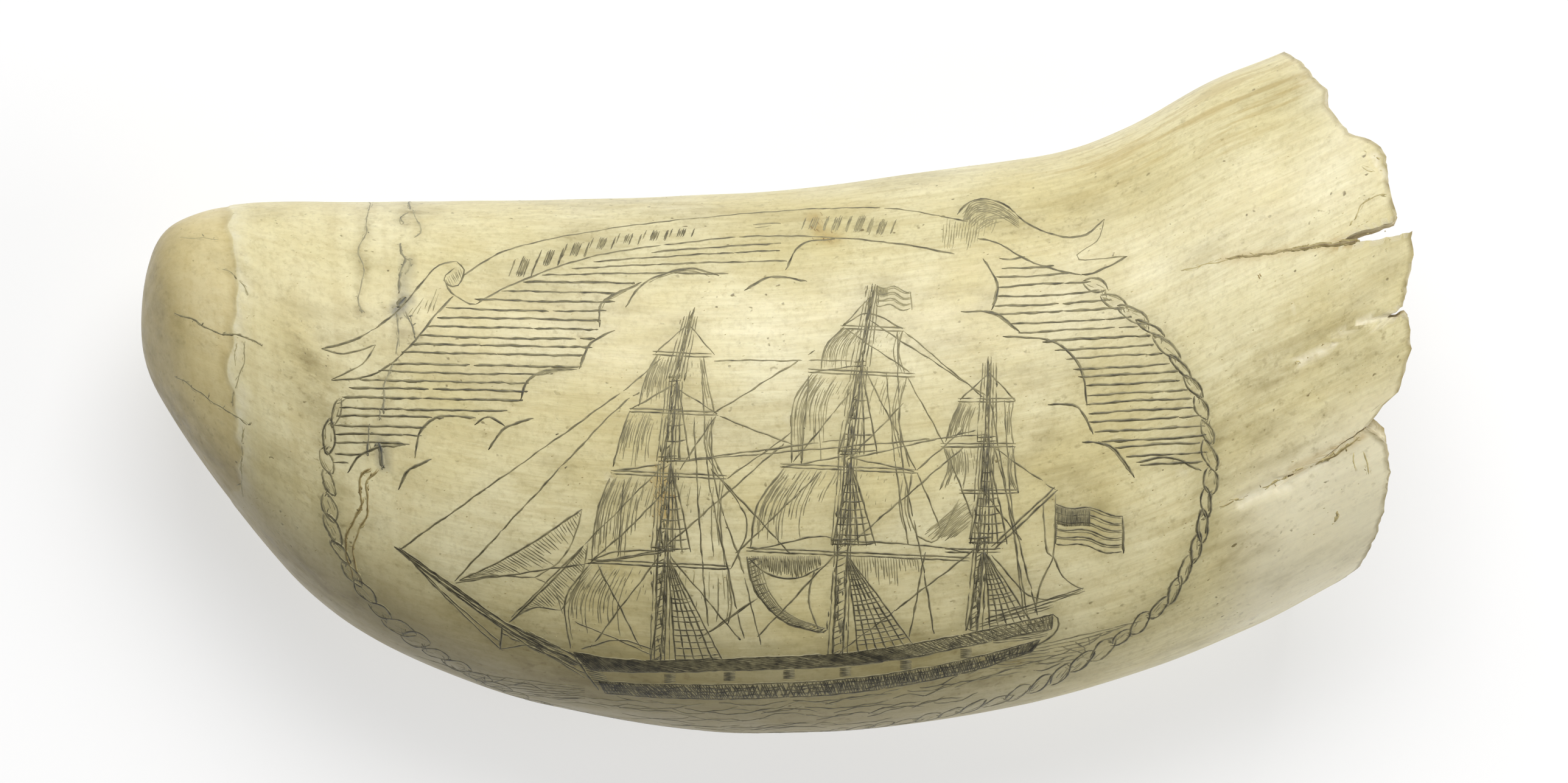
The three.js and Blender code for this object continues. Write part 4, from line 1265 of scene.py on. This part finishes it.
def tooth_fields(place, s, angle, haze):
    """The attributes of the skin, and of the lining to begin with: where they are bare, dirty, hazed with ink,
    stained, ambered or broken, and where shade and light are painted into the colour."""
    x, upper = place[..., 0], smooth(np.sin(angle), 0.0, 0.25)
    cell = ((place[..., :2] - HAZE_LOW) / HAZE_GRID).astype(int).clip(0, np.array(haze.shape) - 1)
    bar = straightened(s, angle)
    # Painted shade: the convex edge, turned away from the light, is darkened here, and the colour also darkens
    # towards the tip.
    low_edge_shade = smooth(-np.cos(angle), 0.45, 0.95) * (1 - smooth(x, 30, 60))
    tip = 1 - smooth(x, -82, -74)
    split_dirt = marked(place, SPLIT_DIRT)
    patches = smooth(mottle(bar * (0.35, 1, 1), 12, 8), 0.05, 0.7)
    lines = np.max([near(place, path, 0.8) for path, _, _ in GREY_SHAKES], axis=0)
    dirt_and_shade = np.clip(0.4 * low_edge_shade * (0.3 + 0.7 * patches) + 0.35 * tip + 0.42 * split_dirt * upper + 0.22 * patches
                    + 0.45 * upper * lines, 0, 1)
    # Real stain with painted shade: the underside of the curve, turned away from the light, is browned, and so is the
    # tip.
    tan_and_underside_shade = np.clip(0.55 * smooth(-np.cos(angle), 0.45, 0.98) * (1 - smooth(x, 5, 48)) + 0.3 * tip, 0, 0.6)
    chipped = 0.4 * upper * near(place, [(68, 43.4), (72, 38), (74.6, 33)], 2.0)
    # A painted light that pales the lower side of the root.
    painted_root_light = 0.5 * upper * smooth(x, 55, 64) * smooth(-np.cos(angle), 0.2, 0.55)
    return {
        "straight": bar, "past_cap": past_cap(s, angle), "dirt_and_shade": dirt_and_shade, "stain": upper * marked(place, GREY_STAIN),
        "amber": upper * marked(place, AMBER_STAIN), "tan_and_underside_shade": tan_and_underside_shade,
        "streaked": 0.12 + 0.42 * near(place, [(40, 31), (52, 34), (68, 40.5)], 4.2), "painted_root_light": painted_root_light,
        "haze": upper * haze[cell[..., 0], cell[..., 1]], "inside": np.zeros_like(s),
        "fresh": flaked(section(s, angle), angle) + chipped,
        "from_edge": (RIM - s) * LENGTH, "banded": 1 - smooth(x, -50, -38),
    }


BEYOND_CAP = 99  # as past_cap, where there is no cap


def joined(grids):
    """Grids of points or of values, end to end as one list."""
    return np.concatenate([grid.reshape(-1, *grid.shape[2:]) for grid in grids])


def broken(place, inside):
    """The attributes of a broken face: fresh and a little dirty, and inside by so much."""
    still = np.zeros(place.shape[:2])
    fields = {name: still for name in ("stain", "tan_and_underside_shade", "streaked", "painted_root_light", "haze", "from_edge", "banded")}
    return fields | {"straight": place, "past_cap": still + BEYOND_CAP, "dirt_and_shade": still + 0.35, "amber": still + 0.12,
                     "fresh": still + 0.8, "inside": still + inside}


def tooth_piece(haze, material):
    """The whole tooth as grids of points, each with its fields and its own place in the map: the skin, the cavity's
    lining, the broken edge between them and the two walls of each split. Shared borders are then welded."""
    patches = []

    def add(place, fields, corner, size, keep=slice(None), flip=False):
        """Takes in a grid, with its corner and size in the map and the columns of faces to keep."""
        rows, columns = place.shape[:2]
        u, v = np.meshgrid(np.linspace(0, 1, columns), np.linspace(0, 1, rows))
        uv = np.stack([corner[0] + size[0] * v, corner[1] + size[1] * u], axis=-1)
        index = np.arange(rows * columns).reshape(rows, columns)
        faces = np.stack([index[:-1, :-1], index[:-1, 1:], index[1:, 1:], index[1:, :-1]], axis=-1)
        faces = faces[:, keep].reshape(-1, 4)
        patches.append((place, fields, uv, faces[:, ::-1] if flip else faces))

    whole = LIP[:-1] != -1
    outer_s, inner_s = shares(OUTER_ROWS), shares(INNER_ROWS)
    outer_angle, inner_angle = column_angle(outer_s), column_angle(inner_s)
    outer, inner = skin(outer_s, outer_angle), lining(inner_s, inner_angle)
    outer[0], inner[0] = outer[0, 0], inner[0, 0]
    add(outer, tooth_fields(outer, outer_s, outer_angle, haze), (0, 0), (1, 0.72), whole)
    fields = tooth_fields(inner, inner_s, inner_angle, haze)
    still = np.zeros_like(inner_s)
    fields |= {name: still for name in ("haze", "stain", "fresh", "amber", "tan_and_underside_shade", "painted_root_light")}
    fields |= {"inside": still + 1, "dirt_and_shade": still + 0.3, "past_cap": still + BEYOND_CAP}
    add(inner, fields, (0, 0.74), (0.6, 0.25), whole, flip=True)

    # Across the wall, from outside to inside, a broken face is rough by up to 0.3 mm.
    t = np.linspace(0, 1, 5)

    def across(a, b, amount):
        place = a[..., None, :] * (1 - t[:, None]) + b[..., None, :] * t[:, None]
        place[..., 0] += amount * np.sin(np.pi * t) * (0.3 * mottle(place, 1.4, 13) - 0.15)
        return place

    rim = across(outer[-1], inner[-1], 1.0).transpose(1, 0, 2)
    add(rim, broken(rim, t[:, None] * 0.5), (0.62, 0.74), (0.36, 0.08), whole)
    for n, c in enumerate(np.flatnonzero(LIP)):
        first = np.searchsorted(OUTER_ROWS, BEND[c]) - 1
        count = len(OUTER_ROWS) - first
        rough = np.r_[np.zeros(count - 1), 1.0][:, None]
        wall = across(outer[first:, c], inner[-count:, c], rough)
        add(wall, broken(wall, t * 0.5), (0.62, 0.84 + 0.018 * n), (0.36, 0.014), flip=LIP[c] < 0)

    start = np.cumsum([0] + [p[0].shape[0] * p[0].shape[1] for p in patches])
    place = joined(p[0] for p in patches)
    fields = {name: joined(p[1][name] for p in patches) for name in patches[0][1]}
    uv = joined(p[2] for p in patches)
    faces = np.concatenate([p[3] + first for p, first in zip(patches, start)])
    tooth = make_mesh("whale_tooth", place, [faces], fields, uv)
    weld(tooth.data)
    tooth.data.materials.append(material)
    return tooth


def weld(mesh):
    """Joins points that share a place and marks edges over 45 degrees as sharp."""
    form = bmesh.new()
    form.from_mesh(mesh)
    bmesh.ops.remove_doubles(form, verts=form.verts, dist=0.002 * MM)
    form.to_mesh(mesh)
    form.free()
    mesh.set_sharp_from_angle(angle=math.radians(45))
    mesh.update()


ENGRAVINGS = [rope_border(), ribbon(), sky(), clouds(), spars(), sails(), rigging(), hull(), flags(), sea()]
BLACK = rubbed_ink("lamp_black_in_cuts", "#B8AE80", "#28251A")
GREY = rubbed_ink("ink_crept_into_cracks", "#C2B98E", "#3A3C3A")
BROWN = rubbed_ink("dirt_in_cracks", "#C9BB84", "#5F4A1C")
RUST = rubbed_ink("rust_in_pores", "#C9B983", "#7C5A1C")
AGE = [(age_lines("tip_cracks", 121, TIP_CRACKS), BLACK), (age_lines("grey_shakes", 122, GREY_SHAKES), GREY),
       (age_lines("brown_shakes", 123, BROWN_SHAKES), BROWN),
       (speckle("dirt_pits", 124, 2600, (-76, -34), (80, 40)), BROWN), (rust("rust_spots", 125), RUST)]

pieces = [tooth_piece(haze_over(ENGRAVINGS), old_polished_ivory())]
pieces += [cuts.piece(BLACK) for cuts in ENGRAVINGS] + [cuts.piece(material) for cuts, material in AGE]
for piece in pieces:
    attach(piece, "root")
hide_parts("tooth")

# ---- Floor, light and camera ----


def floor():
    """A plain white sweep under everything. It is lit from behind as a light table is, so shadows on it stay pale."""
    half = 2.5
    mesh = bpy.data.meshes.new("floor")
    mesh.from_pydata([(-half, -half, 0), (half, -half, 0), (half, half, 0), (-half, half, 0)], [], [(0, 1, 2, 3)])
    sweep = bpy.data.objects.new("floor", mesh)
    bpy.context.scene.collection.objects.link(sweep)
    material, _, shader = new_material("white_light_table")
    shader.inputs["Base Color"].default_value = (0.42, 0.42, 0.42, 1)
    shader.inputs["Roughness"].default_value = 0.9
    shader.inputs["Emission Color"].default_value = (1, 1, 1, 1)
    shader.inputs["Emission Strength"].default_value = 0.58
    mesh.materials.append(material)


def softbox(name, place, size, power):
    """A square white light that faces the tooth's middle."""
    data = bpy.data.lights.new(name, "AREA")
    data.size = size
    data.energy = power
    light = bpy.data.objects.new(name, data)
    light.location = place
    light.rotation_euler = (Vector((0, 0, 0.02)) - light.location).to_track_quat("-Z", "Y").to_euler()
    bpy.context.scene.collection.objects.link(light)


def camera():
    """Straight above, with a long lens, so that the view is almost flat."""
    width, distance, sensor = 0.20425, 2.2, 36.0
    data = bpy.data.cameras.new("camera")
    data.sensor_width = sensor
    data.lens = sensor * distance / width
    eye = bpy.data.objects.new("camera", data)
    eye.location = (1.4 * MM + SHIFT[0] * MM, 0.3 * MM + SHIFT[1] * MM, distance + SHIFT[2] * MM)
    bpy.context.scene.collection.objects.link(eye)
    bpy.context.scene.camera = eye


floor()
softbox("key", (0.05, 0.54, 0.78), 0.6, 8.5)
softbox("right_fill", (0.76, -0.2, 0.42), 0.5, 3.5)
softbox("left_fill", (-0.66, 0.3, 0.54), 0.5, 1.1)
camera()
world = bpy.data.worlds.new("studio")
world.use_nodes = True
world.node_tree.nodes["Background"].inputs["Color"].default_value = (1, 1, 1, 1)
world.node_tree.nodes["Background"].inputs["Strength"].default_value = 0.06
bpy.context.scene.world = world
bpy.context.scene.view_settings.view_transform = "Standard"
